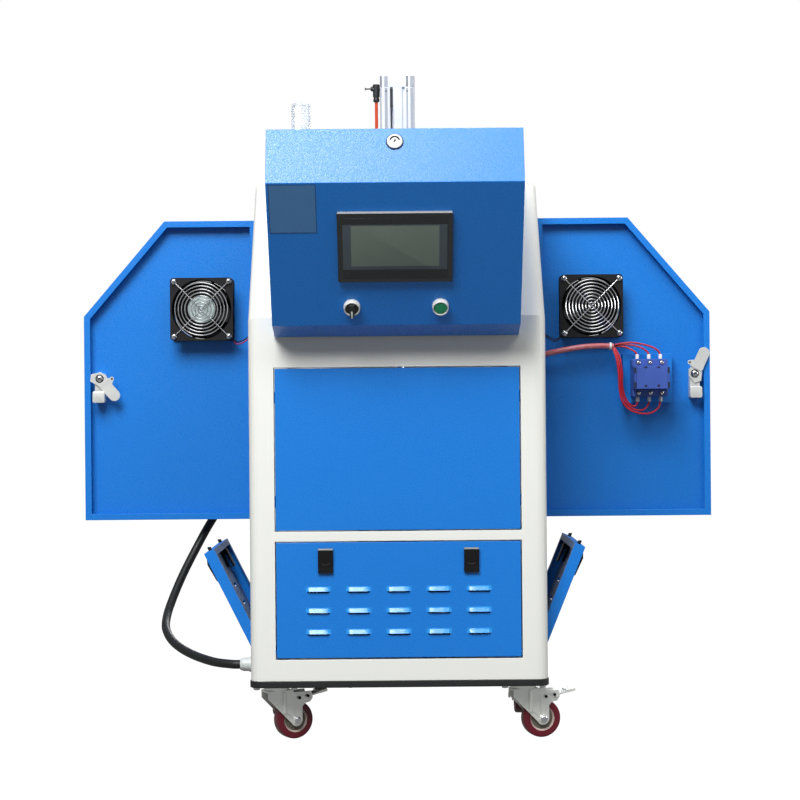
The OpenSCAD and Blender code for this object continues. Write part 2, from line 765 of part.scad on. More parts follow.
// The lever points along +y turned by a about the spindle, seen from outside
module latch_lever(a) {
    translate([0, latch_y, latch_z]) {
        rotate([a, 0, 0]) {
            translate([half_w - pan_d - 2 * pass_gap - 5.4, 0, 0]) along_x(3.5) {
                translate([0, -10]) square([40, 20]);
                translate([40, 0]) circle(10);
                circle(10);
            }
            translate([half_w - pan_d - 11, 0, 0]) rotate([0, 90, 0]) cylinder(r = 7, h = 5, $fn = 36);
            translate([half_w + 6, 0, 0]) along_x(9) {
                translate([-24, -7]) square([48, 14]);
                translate([-24, 0]) circle(7);
                translate([24, 0]) circle(7);
            }
            translate([half_w + 0.6, 0, 0]) rotate([0, 90, 0]) cylinder(r = 11, h = 6);
        }
        translate([half_w - pan_d - 6, 0, 0]) rotate([0, 90, 0]) cylinder(r = 6, h = pan_d + 10);
    }
}

module left_door() color([0.12, 0.48, 0.84]) place() mirror([1, 0, 0]) open_door() door_panel();

module left_fan_frame() color([0.08, 0.08, 0.09]) place() mirror([1, 0, 0]) open_door() at_fan() fan_frame();

module left_fan_guard() color([0.75, 0.76, 0.78]) place() mirror([1, 0, 0]) open_door() at_fan() fan_guard();

module left_fan_rotor() color([0.1, 0.1, 0.11]) place() mirror([1, 0, 0]) open_door() at_fan() fan_rotor();

module left_latch_body() color([0.55, 0.57, 0.58]) place() mirror([1, 0, 0]) open_door() latch_body();

module left_latch_lever() color([0.7, 0.71, 0.72]) place() mirror([1, 0, 0]) open_door() latch_lever(-45);

module right_door() color([0.12, 0.48, 0.84]) place() open_door() door_panel();

module right_fan_frame() color([0.08, 0.08, 0.09]) place() open_door() at_fan() fan_frame();

module right_fan_guard() color([0.75, 0.76, 0.78]) place() open_door() at_fan() fan_guard();

module right_fan_rotor() color([0.1, 0.1, 0.11]) place() open_door() at_fan() fan_rotor();

module right_latch_body() color([0.55, 0.57, 0.58]) place() open_door() latch_body();

module right_latch_lever() color([0.7, 0.71, 0.72]) place() open_door() latch_lever(110);

module contactor_bracket() {
    h = bracket_s / 2;
    x = half_w - pan_t - bracket_off;
    color([0.12, 0.48, 0.84]) place() open_door() {
        translate([x, bracket_y - h, bracket_z - h]) cube([2, bracket_s, bracket_s]);
        for (s = [-1, 1])
            translate([x, bracket_y + s * (h - 1) - 1, bracket_z - h])
                cube([bracket_off - seat_gap, 2, bracket_s]);
    }
}

// Contactor along z: foot on z = 0, three poles side by side along x
module contactor_shape() {
    difference() {
        union() {
            translate([-33.5, -35.5, 0]) cube([67, 71, 40]);
            translate([-33.5, -23, 39]) cube([67, 46, 29]);
            translate([-26, -17, 67]) cube([52, 34, 4]);
        }
        for (x = [-22, 0, 22], s = [-1, 1]) {
            translate([x - 8, s > 0 ? 27 : -36, 18]) cube([16, 9, 16]);
            translate([x, s * 29, 30]) cylinder(r = 4.5, h = 20);
        }
        for (x = [-11, 11])
            translate([x - 0.8, -40, 44]) cube([1.6, 80, 40]);
    }
    for (x = [-22, 0, 22], s = [-1, 1])
        translate([x, s * 29, 29]) cylinder(r = 3.6, h = 8);
}

module contactor() {
    x = half_w - pan_t - bracket_off - seat_gap;
    color([0.26, 0.38, 0.7]) place() open_door()
        translate([x, bracket_y, bracket_z]) rotate([90, 0, -90]) contactor_shape();
}

module right_door_wiring() {
    color([0.75, 0.12, 0.18]) place() translate([hinge_x, hinge_y, 0]) {
        tube(smooth(trunk_route, 4), 5.5, 10);
        for (w = upper_wires)
            tube(smooth(w, 4), 1.7, 8);
        for (w = lower_wires)
            tube(smooth(w, 4), 1.7, 8);
        for (c = wire_ties)
            translate(c) sphere(6.6, $fn = 20);
    }
}

// Console hood, turning on its pins at the front frame
module hood_solid(k, e) {
    across(hood_w - 2 * k) polygon(inset_each(hood_outline(), e));
}

module on_face(s) translate([0, fold[0], fold[1]]) rotate([90 + face_a, 0, 0]) translate([0, -s, 0]) children();

module on_brow(s) translate([0, brow[0], brow[1]]) rotate([90 + brow_a, 0, 0]) translate([0, -s, 0]) children();

module console_hood() {
    t = hood_t;
    color([0.12, 0.48, 0.84]) place() difference() {
        union() {
            difference() {
                hood_solid(0, [0, 0, 0, 0, 0, 0, 0, 0]);
                hood_solid(t, [t, t, t, -40, -40, -40, t, t]);
            }
            for (s = [-1, 1])
                translate([s * (hood_w / 2 - 2.5), hood_pin[0], hood_pin[1]]) rotate([0, 90, 0])
                    cylinder(r = 5.6, h = 5, center = true);
        }
        translate([0, hood_pin[0], hood_pin[1]]) rotate([0, 90, 0])
            cylinder(r = 3 + run_clear, h = hood_w + 10, center = true);
        on_face(hmi_s) translate([-hmi_w / 2 + 6, -hmi_h / 2 + 6, -10]) cube([hmi_w - 12, hmi_h - 12, 20]);
        for (s = [-1, 1])
            on_face(control_s) translate([s * control_x, 0, -10]) cylinder(r = 11 + pass_gap, h = 20);
        on_brow(lock_s) translate([0, 0, -10]) cylinder(r = 9.5 + pass_gap, h = 20);
    }
}

module hmi_bezel() {
    color([0.19, 0.2, 0.21]) place() on_face(hmi_s) difference() {
        union() {
            translate([0, 0, seat_gap]) linear_extrude(7) rounded(hmi_w, hmi_h, 7);
            translate([-hmi_w / 2 + 7, -hmi_h / 2 + 7, -32]) cube([hmi_w - 14, hmi_h - 14, 33]);
        }
        translate([0, 3, 5]) linear_extrude(5) rounded(hmi_w - 36, hmi_h - 44, 2);
    }
}

module hmi_screen() {
    color([0.34, 0.38, 0.36]) place() on_face(hmi_s)
        translate([0, 3, 5 + seat_gap]) linear_extrude(1.4) rounded(hmi_w - 37, hmi_h - 45, 1.6);
}

module control_ring() {
    difference() {
        union() {
            translate([0, 0, seat_gap]) cylinder(r = ring_r, h = 8);
            translate([0, 0, -26]) cylinder(r = 11, h = 27);
        }
        translate([0, 0, 1]) cylinder(r = recess_r, h = 10);
        translate([0, 0, -27]) cylinder(r = stem_r + run_clear, h = 40);
    }
}

module control_rings() {
    color([0.8, 0.81, 0.83]) place() {
        for (s = [-1, 1])
            on_face(control_s) translate([s * control_x, 0, 0]) control_ring();
        on_brow(lock_s) difference() {
            union() {
                translate([0, 0, seat_gap]) cylinder(r = lock_r, h = 4);
                translate([0, 0, -20]) cylinder(r = 9.5, h = 21);
            }
            translate([0, 0, -21]) cylinder(r = plug_r + run_clear, h = 30);
        }
    }
}

module selector_knob() {
    color([0.07, 0.07, 0.08]) place() on_face(control_s) translate([-control_x, 0, 0]) {
        translate([0, 0, 1 + pass_gap]) cylinder(r = cap_r, h = 7.5);
        translate([0, 0, -24]) cylinder(r = stem_r, h = 28);
        translate([-4, -14, 8 + pass_gap]) cube([8, 25, 9 - pass_gap]);
    }
}

module push_button() {
    color([0.1, 0.55, 0.25]) place() on_face(control_s) translate([control_x, 0, 0]) {
        translate([0, 0, 5 + pass_gap]) cylinder(r = cap_r, h = 4.5);
        translate([0, 0, -20]) cylinder(r = stem_r, h = 28);
    }
}

module lock_plug() {
    color([0.6, 0.61, 0.63]) place() on_brow(lock_s) difference() {
        union() {
            translate([0, 0, -24]) cylinder(r = plug_r, h = 28.5);
            translate([-6, -6, -24]) cube([12, 26, 2.5]);
        }
        translate([-0.9, -3.6, 0]) cube([1.8, 7.2, 10]);
    }
}

module beacon() {
    color([0.9, 0.92, 0.92]) place() translate([beacon_x, 0, hood_top]) {
        translate([0, 0, seat_gap]) cylinder(r = beacon_r + 2, h = 12);
        translate([0, 0, 12 + 2 * seat_gap]) {
            cylinder(r = beacon_r, h = beacon_h - 18);
            translate([0, 0, beacon_h - 18]) cylinder(r = beacon_r - 3, h = 6);
        }
    }
}

// Press: square-profile air cylinder, piston rod and follower plate, melt tank below
module cyl_profile() {
    difference() {
        rounded(cyl_s, cyl_s, 6);
        circle(cyl_s / 2 - 7.5);
        for (a = [0 : 90 : 270], s = [-1, 1])
            rotate(a) translate([s * 11, -cyl_s / 2]) square([5, 9], center = true);
    }
}

module press_cylinder() {
    color([0.78, 0.79, 0.8]) place() translate([press_x, press_y, top_z]) {
        difference() {
            linear_extrude(cap_h - seat_gap) rounded(cyl_s, cyl_s, 7);
            translate([0, 0, -1]) cylinder(r = rod_r + run_clear, h = cap_h + 2);
        }
        translate([0, 0, cap_h]) linear_extrude(cyl_h - 2 * cap_h) cyl_profile();
        translate([0, 0, cyl_h - cap_h + seat_gap]) difference() {
            linear_extrude(cap_h - seat_gap) rounded(cyl_s, cyl_s, 7);
            for (sx = [-1, 1], sy = [-1, 1])
                translate([sx * 23, sy * 23, cap_h - 8]) cylinder(r = 4.5, h = 10);
        }
    }
}

module ram() {
    color([0.72, 0.73, 0.74]) place() translate([press_x, press_y, 0]) {
        translate([0, 0, ram_z]) cylinder(r = rod_r, h = piston_z - ram_z + 2);
        translate([0, 0, piston_z]) cylinder(r = cyl_s / 2 - 7.5 - pass_gap, h = piston_h);
        translate([0, 0, ram_z - 18]) cylinder(r = tank_r - 1, h = 20);
        translate([0, 0, ram_z]) cylinder(r = 26, h = 16);
    }
}

module melt_tank() {
    color([0.72, 0.72, 0.7]) place() translate([press_x, press_y, 0]) difference() {
        union() {
            translate([0, 0, block_z + block_h]) cylinder(r = tank_r + tank_wall, h = tank_top - block_z - block_h);
            translate([0, 0, tank_top - 12]) cylinder(r = tank_r + tank_wall + 8, h = 12);
            for (z = [430, 480, 530])
                translate([0, 0, z]) cylinder(r = tank_r + tank_wall + 2, h = 26);
        }
        translate([0, 0, block_z + block_h + 20]) cylinder(r = tank_r, h = tank_top);
    }
}

module manifold() {
    color([0.66, 0.67, 0.68]) place() {
        translate([press_x - 85, press_y - 60, block_z]) cube([170, 120, block_h]);
        for (sx = [-1, 1], sy = [-1, 1])
            translate([press_x + sx * 72, press_y + sy * 48, body_z]) cylinder(r = 8, h = block_z - body_z + 1);
        for (x = outlet_x)
            translate([x, press_y + 60 + seat_gap, outlet_z]) rotate([-90, 0, 0]) difference() {
                union() {
                    cylinder(r = 10.5, h = cab_d - press_y - 60 + outlet_len - seat_gap);
                    cylinder(r = 15, h = 40, $fn = 36);
                }
                translate([0, 0, cab_d - press_y - 60]) cylinder(r = outlet_r, h = outlet_len + 10);
            }
    }
}

module gear_pump() {
    color([0.5, 0.52, 0.54]) place() difference() {
        union() {
            translate([press_x - 42, shaft_y1 - 8, shaft_z - 42]) cube([84, 70, 84]);
            translate([press_x - 30, shaft_y1 - 2, shaft_z + 40]) cube([60, 58, block_z - shaft_z - 40 - seat_gap]);
        }
        translate([press_x, shaft_y1 - 20, shaft_z]) rotate([-90, 0, 0]) cylinder(r = shaft_r + run_clear, h = 40);
    }
}

module drive_motor() {
    color([0.3, 0.36, 0.42]) place() difference() {
        union() {
            translate([press_x - 46, shaft_y0 - 62, shaft_z - 46]) cube([92, 70, 92]);
            translate([press_x, 28, shaft_z]) rotate([-90, 0, 0]) cylinder(r = 54, h = shaft_y0 - 89);
            translate([press_x, 24, shaft_z]) rotate([-90, 0, 0]) cylinder(r = 46, h = 10);
            translate([press_x - 30, 50, shaft_z + 40]) cube([60, 60, 36]);
            translate([press_x - 52, 60, body_z]) cube([104, 120, 6]);
            for (s = [-1, 1])
                translate([press_x + s * 40 - 5, 60, body_z]) cube([10, 120, shaft_z - body_z - 20]);
        }
        translate([press_x, shaft_y0 - 12, shaft_z]) rotate([-90, 0, 0]) cylinder(r = shaft_r + run_clear, h = 40);
    }
}

module drive_coupling() {
    color([0.6, 0.61, 0.6]) place() translate([press_x, 0, shaft_z]) rotate([-90, 0, 0]) {
        translate([0, 0, shaft_y0 - 10]) cylinder(r = shaft_r, h = shaft_y1 - shaft_y0 + 28);
        difference() {
            translate([0, 0, shaft_y0 + 11]) cylinder(r = 24, h = shaft_y1 - shaft_y0 - 22);
            translate([0, 0, (shaft_y0 + shaft_y1) / 2 - 3]) difference() {
                cylinder(r = 30, h = 6);
                cylinder(r = 20, h = 6);
            }
        }
        for (a = [30, 210])
            rotate([0, 0, a]) translate([23, 0, shaft_y0 + 19]) rotate([0, 90, 0]) cylinder(r = 3, h = 3);
    }
}

module electrical_plate() {
    color([0.86, 0.86, 0.83]) place() {
        translate([-150, 26, 385]) cube([300, 2, 240]);
        for (sx = [-1, 1], z = [400, 600])
            translate([sx * 143, pan_t, z]) rotate([-90, 0, 0]) cylinder(r = 5, h = 25);
        translate([-120, 28 + seat_gap, 470]) cube([150, 58, 90]);
        for (i = [0 : 3])
            translate([44 + i * 18.5, 28 + seat_gap, 474]) cube([18, 62, 82]);
        for (i = [0 : 2])
            translate([-110 + i * 50, 28 + seat_gap, 395]) cube([44, 34, 58]);
        translate([-140, 28 + seat_gap, 582]) cube([280, 40, 32]);
        for (s = [0, 1])
            mirror([s, 0, 0]) translate([half_w - 48, cab_d - 46, 545]) cube([22, 46 - sheet - seat_gap, 230]);
    }
}

module air_fittings() {
    color([0.1, 0.1, 0.11]) place() {
        translate([tube_x, press_y, elbow_z]) {
            translate([0, 0, -14]) cylinder(r = 6.5, h = 22);
            rotate([0, 90, 0]) cylinder(r = 5, h = press_x - cyl_s / 2 - tube_x - seat_gap);
            translate([-18, 0, 0]) rotate([0, 90, 0]) cylinder(r = 3.6, h = 18);
            translate([-22, 0, 0]) rotate([0, 90, 0]) cylinder(r = 2.2, h = 6);
        }
        translate([valve_x - 25, press_y - 22, valve_z - 20]) cube([50, 44, 40]);
        translate([valve_x - 22, press_y - 18, valve_z + 19]) cube([14, 36, top_z - sheet - valve_z - 19 - seat_gap]);
        translate([valve_x, cab_d - 16, valve_z]) rotate([-90, 0, 0]) difference() {
            union() {
                cylinder(r = 9, h = 40);
                translate([0, 0, 16 + pass_gap]) cylinder(r = 12, h = 5, $fn = 36);
            }
            translate([0, 0, 20]) cylinder(r = 4, h = 30);
        }
    }
}

module air_tube() {
    color([0.8, 0.3, 0.2]) place() {
        translate([tube_x, press_y, valve_z + 20 + seat_gap])
            cylinder(r = 3, h = elbow_z - 14 - valve_z - 20 - 2 * seat_gap, $fn = 24);
        translate([valve_x, press_y + 22 + seat_gap, valve_z]) rotate([-90, 0, 0])
            cylinder(r = 4, h = cab_d - 16 - press_y - 22 - 2 * seat_gap, $fn = 24);
    }
}

module reed_switch() {
    color([0.14, 0.14, 0.15]) place() translate([press_x - 11, press_y - cyl_s / 2, 0]) {
        translate([-2.3, -2, top_z + 136]) cube([4.6, 6, 34]);
        translate([0, -6, top_z - 20]) cylinder(r = 1.5, h = 152, $fn = 20);
        translate([-1.5, -6, top_z + 130]) cube([3, 5, 8]);
    }
}

// Castors: swivel axis on z, wheel trailing along +x
module castor_leg() {
    polygon([[-22, base_z - 14], [pedal_pin[0] + 4, base_z - 14], [pedal_pin[0] + 7, pedal_pin[1]], [pedal_pin[0] + 2, pedal_pin[1] - 7],
        [trail + 16, pedal_pin[1] - 9], [trail + 11, pedal_pin[1] - 15], [trail + 11, axle_z], [trail, axle_z - 11],
        [trail - 9, axle_z - 6], [-22, base_z - 24]]);
    translate([trail, axle_z]) circle(11);
}

module castor_fork() {
    w = wheel_w / 2 + 2;
    difference() {
        union() {
            translate([-22, -w - 2.5, base_z - 14]) cube([48, 2 * w + 5, 4]);
            for (s = [-1, 1])
                translate([0, s * (w + 1.25) + 1.25, 0]) rotate([90, 0, 0]) linear_extrude(2.5) castor_leg();
            translate([trail, 0, axle_z]) rotate([90, 0, 0]) cylinder(r = axle_r, h = 2 * w + 12, center = true);
            for (s = [-1, 1])
                translate([trail, s * (w + 4.5), axle_z]) rotate([90, 0, 0]) cylinder(r = 7, h = 4, center = true, $fn = 36);
            translate([pedal_pin[0], 0, pedal_pin[1]]) rotate([90, 0, 0]) cylinder(r = 2.5, h = 2 * w + 6, center = true);
        }
        translate([0, 0, base_z - 20]) cylinder(r = king_r + run_clear, h = 20);
    }
}

module rear_fork() {
    w = wheel_w / 2 + 2;
    translate([-46, -30, base_z - 3]) cube([92, 60, 3]);
    for (s = [-1, 1])
        translate([0, s * (w + 1.25) + 1.25, 0]) rotate([90, 0, 0]) linear_extrude(2.5) {
            polygon([[-26, base_z - 2], [26, base_z - 2], [11, axle_z], [0, axle_z - 11], [-11, axle_z]]);
            translate([0, axle_z]) circle(11);
        }
    translate([0, 0, axle_z]) rotate([90, 0, 0]) cylinder(r = axle_r, h = 2 * w + 12, center = true);
}

module castor_wheel() {
    h = wheel_w / 2;
    rotate([90, 0, 0]) difference() {
        union() {
            cylinder(r = wheel_r, h = wheel_w - 6, center = true);
            cylinder(r = wheel_r - 3, h = wheel_w, center = true);
            for (s = [-1, 1])
                translate([0, 0, s * (h - 3)]) rotate_extrude() translate([wheel_r - 3, 0]) circle(3, $fn = 24);
            cylinder(r = 11, h = wheel_w + 2, center = true);
        }
        for (s = [-1, 1])
            translate([0, 0, s * h]) difference() {
                cylinder(r = wheel_r - 11, h = 8, center = true);
                cylinder(r = 12, h = 10, center = true);
            }
        cylinder(r = axle_r + run_clear, h = wheel_w + 6, center = true);
    }
}

module castor_pedal() {
    w = wheel_w / 2 + 0.5;
    translate([pedal_pin[0], 0, pedal_pin[1]]) difference() {
        union() {
            rotate([90, 0, 0]) cylinder(r = 5, h = 2 * w, center = true);
            rotate([0, -12, 0]) translate([3, -w, 1]) cube([24, 2 * w, 3]);
            rotate([0, -12, 0]) translate([22, -w - 2, 1]) cube([16, 2 * w + 4, 5]);
        }
        rotate([90, 0, 0]) cylinder(r = 2.5 + run_clear, h = 4 * w, center = true);
    }
}

module front_castor(s, a) translate([s * castor_x, castor_y, 0]) rotate([0, 0, a]) children();

module castor_mounts() {
    color([0.68, 0.7, 0.67]) place() {
        for (s = [-1, 1])
            translate([s * castor_x, castor_y, 0]) {
                translate([-40, -32, base_z - 3]) cube([80, 64, 3]);
                translate([0, 0, base_z - 10 + pass_gap]) cylinder(r = 22, h = 8 - pass_gap);
                translate([0, 0, base_z - 18]) cylinder(r = king_r, h = 16);
                translate([0, 0, base_z - 18]) cylinder(r = 8, h = 3.5);
            }
        for (s = [-1, 1])
            translate([s * rear_x, rear_y, 0]) rotate([0, 0, 90]) rear_fork();
    }
}

module left_fork() color([0.68, 0.7, 0.67]) place() front_castor(-1, left_swivel) castor_fork();

module right_fork() color([0.68, 0.7, 0.67]) place() front_castor(1, right_swivel) castor_fork();

module front_left_wheel() {
    color([0.45, 0.08, 0.18]) place() front_castor(-1, left_swivel) translate([trail, 0, axle_z]) castor_wheel();
}

module front_right_wheel() {
    color([0.45, 0.08, 0.18]) place() front_castor(1, right_swivel) translate([trail, 0, axle_z]) castor_wheel();
}

module rear_left_wheel() {
    color([0.45, 0.08, 0.18]) place() translate([-rear_x, rear_y, axle_z]) rotate([0, 0, 90]) castor_wheel();
}

module rear_right_wheel() {
    color([0.45, 0.08, 0.18]) place() translate([rear_x, rear_y, axle_z]) rotate([0, 0, 90]) castor_wheel();
}

module left_pedal() color([0.55, 0.57, 0.56]) place() front_castor(-1, left_swivel) castor_pedal();

module right_pedal() color([0.55, 0.57, 0.56]) place() front_castor(1, right_swivel) castor_pedal();

// Power lead
module cable_gland() {
    color([0.8, 0.83, 0.83]) place() translate([-half_w, gland_y, gland_z]) rotate([0, -90, 0]) difference() {
        union() {
            translate([0, 0, -14]) cylinder(r = 9.6, h = 16);
            translate([0, 0, seat_gap]) cylinder(r = 13.5, h = 7, $fn = 36);
            translate([0, 0, 6]) cylinder(r = 12, h = 12);
            translate([0, 0, 17]) cylinder(r1 = 12, r2 = 9.8, h = 6);
        }
        translate([0, 0, -15]) cylinder(r = cord_r + 0.5, h = 50);
    }
}

module supply_cable() color([0.16, 0.16, 0.17]) place() tube(smooth(cord_route, 3), cord_r, 10);

module cable_coil() {
    n = 21 * coil_turns;
    x = coil_c[0] - coil_r;
    z = floor_z + 9;
    turns = [for (i = [1 : n - 1])
        let (a = 360 * coil_turns * i / n)
        [coil_c[0] - coil_r * cos(a), coil_c[1] + coil_r * sin(a), z + coil_pitch * coil_turns * i / n]];
    color([0.16, 0.16, 0.17]) place()
        tube(concat([[x, coil_c[1], z], [x, coil_c[1] + 1, z]], turns, smooth(tail_route, 3)), cord_r, 10);
}

module supply_plug() {
    color([0.14, 0.14, 0.15]) place() {
        translate([80, 823.5, floor_z + 28]) rotate([0, 90, -27]) {
            difference() {
                translate([0, 0, -12]) cylinder(r = 13, h = 38);
                translate([0, 0, -13]) cylinder(r = cord_r + pass_gap, h = 13 + seat_gap);
            }
            translate([0, 0, 20]) cylinder(r = 24, h = 62);
            translate([0, 0, 76]) difference() {
                cylinder(r = 28, h = 46);
                translate([0, 0, 8]) cylinder(r = 25, h = 60);
            }
            for (a = [0 : 72 : 288])
                rotate([0, 0, a]) translate([14, 0, 70]) cylinder(r = 3, h = 46, $fn = 24);
        }
    }
}
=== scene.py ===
import math

import bmesh
import bpy
from mathutils import Matrix, Vector


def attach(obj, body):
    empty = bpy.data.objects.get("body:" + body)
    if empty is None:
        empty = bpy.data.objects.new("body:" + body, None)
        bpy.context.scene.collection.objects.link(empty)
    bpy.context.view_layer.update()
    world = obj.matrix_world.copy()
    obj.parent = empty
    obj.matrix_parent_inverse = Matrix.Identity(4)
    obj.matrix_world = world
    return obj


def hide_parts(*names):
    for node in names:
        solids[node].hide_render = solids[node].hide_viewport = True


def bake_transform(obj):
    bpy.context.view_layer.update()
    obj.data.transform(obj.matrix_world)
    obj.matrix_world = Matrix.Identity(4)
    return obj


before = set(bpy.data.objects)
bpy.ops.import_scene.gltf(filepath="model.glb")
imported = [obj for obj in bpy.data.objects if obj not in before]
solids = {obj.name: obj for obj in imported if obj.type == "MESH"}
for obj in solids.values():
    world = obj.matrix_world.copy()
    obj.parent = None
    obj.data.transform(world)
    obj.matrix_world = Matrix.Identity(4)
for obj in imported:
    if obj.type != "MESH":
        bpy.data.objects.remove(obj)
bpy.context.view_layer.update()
scene = bpy.context.scene
scene.view_settings.view_transform = "Standard"


# Studio: a level camera straight in front of the cabinet, with the photograph's slight roll.
# A pale floor runs out to a white surround. A broad soft box hangs over the front left, weak ones fill in
# from the right, the top and the right side, and one lights the back.
class Tone:
    """One value or colour in a finish. Python operators on it add the maths nodes."""

    def __init__(self, tree, socket):
        self.tree, self.socket = tree, socket

    def node(self, kind, settings=None, sockets=None, out=0):
        made = self.tree.nodes.new(kind)
        for key, value in (settings or {}).items():
            setattr(made, key, value)
        for key, value in (sockets or {}).items():
            if isinstance(value, Tone):
                self.tree.links.new(value.socket, made.inputs[key])
            else:
                made.inputs[key].default_value = value
        return Tone(self.tree, made.outputs[out])

    def maths(self, kind, a, b):
        return self.node("ShaderNodeMath", {"operation": kind}, {0: a, 1: b})

    def __add__(self, other):
        return self.maths("ADD", self, other)

    def __sub__(self, other):
        return self.maths("SUBTRACT", self, other)

    def __mul__(self, other):
        return self.maths("MULTIPLY", self, other)

    def __gt__(self, other):
        return self.maths("GREATER_THAN", self, other)

    def __lt__(self, other):
        return self.maths("LESS_THAN", self, other)

    __radd__ = __add__
    __rmul__ = __mul__


def seen_directly(tree):
    path = tree.nodes.new("ShaderNodeLightPath")
    camera, gloss, through = (Tone(tree, path.outputs[k])
                              for k in ("Is Camera Ray", "Is Glossy Ray", "Is Transmission Ray"))
    return camera.maths("MAXIMUM", camera.maths("MAXIMUM", camera, gloss * 0.22), through)


camera = bpy.data.objects.new("camera", bpy.data.cameras.new("camera"))
camera.location = (0.005, -3.606, 0.598)
camera.rotation_euler = (math.radians(90), math.radians(0.5), 0)
camera.data.lens = 90.5
camera.data.sensor_width = 36
scene.collection.objects.link(camera)
scene.camera = camera

surround = bpy.data.worlds.new("surround")
surround.use_nodes = True
scene.world = surround
air = surround.node_tree
direct = seen_directly(air)
ambient = direct.node("ShaderNodeBackground", None, {"Color": (0.95, 0.97, 1.0, 1), "Strength": 0.12})
white = direct.node("ShaderNodeBackground", None, {"Color": (1, 1, 1, 1), "Strength": 1.0})
mixed = direct.node("ShaderNodeMixShader", None, {0: direct, 1: ambient, 2: white})
air.links.new(mixed.socket, air.nodes["World Output"].inputs["Surface"])

bm = bmesh.new()
bmesh.ops.create_grid(bm, x_segments=1, y_segments=1, size=14, matrix=Matrix.Translation((0, 4, -0.0006)))
floor_mesh = bpy.data.meshes.new("floor")
bm.to_mesh(floor_mesh)
bm.free()
floor = bpy.data.objects.new("floor", floor_mesh)
scene.collection.objects.link(floor)
paper = bpy.data.materials.new("white_paper")
paper.use_nodes = True
sheet = paper.node_tree
direct = seen_directly(sheet)
lit = direct.node("ShaderNodeBsdfDiffuse", None, {"Color": (0.14, 0.14, 0.14, 1)})
glow = direct.node("ShaderNodeEmission", None, {"Color": (1, 1, 1, 1), "Strength": 1.16})
mixed = direct.node("ShaderNodeMixShader", None, {0: direct * 0.9, 1: lit, 2: glow})
sheet.links.new(mixed.socket, sheet.nodes["Material Output"].inputs["Surface"])
floor_mesh.materials.append(paper)

for name, place, aim, size, power in (
    ("soft_box", (-1.1, -2.95, 3.75), (0, -0.2, 0.9), 2.3, 262),
    ("right_box", (1.7, -2.9, 3.7), (0, -0.1, 0.8), 1.6, 38),
    ("top_box", (0.0, -0.6, 3.6), (0, 0, 0.9), 1.6, 22),
    ("side_box", (2.6, -0.15, 1.1), (0.2, -0.05, 0.75), 0.9, 18),
    ("back_box", (0.7, 3.3, 2.6), (0, 0.3, 0.7), 1.6, 90),
):
    lamp = bpy.data.objects.new(name, bpy.data.lights.new(name, "AREA"))
    lamp.data.size = size
    lamp.data.energy = power
    lamp.location = place
    lamp.rotation_euler = (Vector(aim) - Vector(place)).to_track_quat("-Z", "Y").to_euler()
    scene.collection.objects.link(lamp)


# Power lead: a 16 mm black rubber cable. It leaves the gland low on the left side, hangs in a bow,
# rises to a clip on the rear panel and drops to a coil behind the cabinet that ends in an industrial plug.
def srgb(red, green, blue):
    return tuple(((c / 255 + 0.055) / 1.055) ** 2.4 if c > 10 else c / 3294.6
                 for c in (red, green, blue)) + (1.0,)


def finish(name, colour, rough, **constants):
    made = bpy.data.materials.new(name)
    made.use_nodes = True
    shader = made.node_tree.nodes["Principled BSDF"]
    shader.inputs["Base Color"].default_value = colour
    shader.inputs["Roughness"].default_value = rough
    for key, value in constants.items():
        shader.inputs[key.replace("_", " ")].default_value = value
    spot = Tone(made.node_tree, made.node_tree.nodes.new("ShaderNodeTexCoord").outputs["Object"])

    def feed(socket, value):
        made.node_tree.links.new(value.socket, shader.inputs[socket])

    return made, spot, feed


def speckle(spot, size, detail=2.0):
    return spot.node("ShaderNodeTexNoise", None, {"Vector": spot, "Scale": 1 / size, "Detail": detail})


def shades(spot, amount, colour, spread):
    dark = tuple(c * (1 - spread) for c in colour[:3]) + (1.0,)
    pale = tuple(min(1.0, c * (1 + spread)) for c in colour[:3]) + (1.0,)
    return spot.node("ShaderNodeMix", {"data_type": "RGBA"}, {0: amount, 6: dark, 7: pale}, out=2)


def moulded(name, colour, rough, grain=0.0006, depth=0.12, spread=0.08, **constants):
    made, spot, feed = finish(name, colour, rough, **constants)
    fine, broad = speckle(spot, grain), speckle(spot, 0.03)
    feed("Base Color", shades(spot, broad, colour, spread))
    feed("Roughness", rough + (broad - 0.5) * 0.18)
    feed("Normal", spot.node("ShaderNodeBump", None, {"Strength": depth, "Distance": 0.0003, "Height": fine}))
    return made


def through_points(points, steps):
    out = []
    for i in range(len(points) - 1):
        a, b, c, d = (Vector(points[min(max(k, 0), len(points) - 1)]) for k in (i - 1, i, i + 1, i + 2))
        for j in range(steps):
            t = j / steps
            out.append(0.5 * (2 * b + (c - a) * t + (2 * a - 5 * b + 4 * c - d) * t * t
                              + (3 * b - a - 3 * c + d) * t ** 3))
    return out + [Vector(points[-1])]


def tube_curve(name, line, radius, rounds):
    made = bpy.data.curves.new(name, "CURVE")
    made.dimensions = "3D"
    made.bevel_depth = radius
    made.bevel_resolution = rounds
    made.use_fill_caps = True
    spline = made.splines.new("POLY")
    spline.points.add(len(line) - 1)
    for point, place in zip(spline.points, line):
        point.co = (*place, 1)
    spline.use_smooth = True
    return made


zero_depth, datum_height = 106, 8  # mm: how deep in the cabinet y = 0 lies, and its datum over the floor


def in_frame(points):
    """Cabinet millimetres to metres in the shared frame."""
    return [Vector((x, y - zero_depth, z + datum_height)) / 1000 for x, y, z in points]


def coat_solid(node, coat):
    solids[node].data.materials.clear()
    solids[node].data.materials.append(coat)


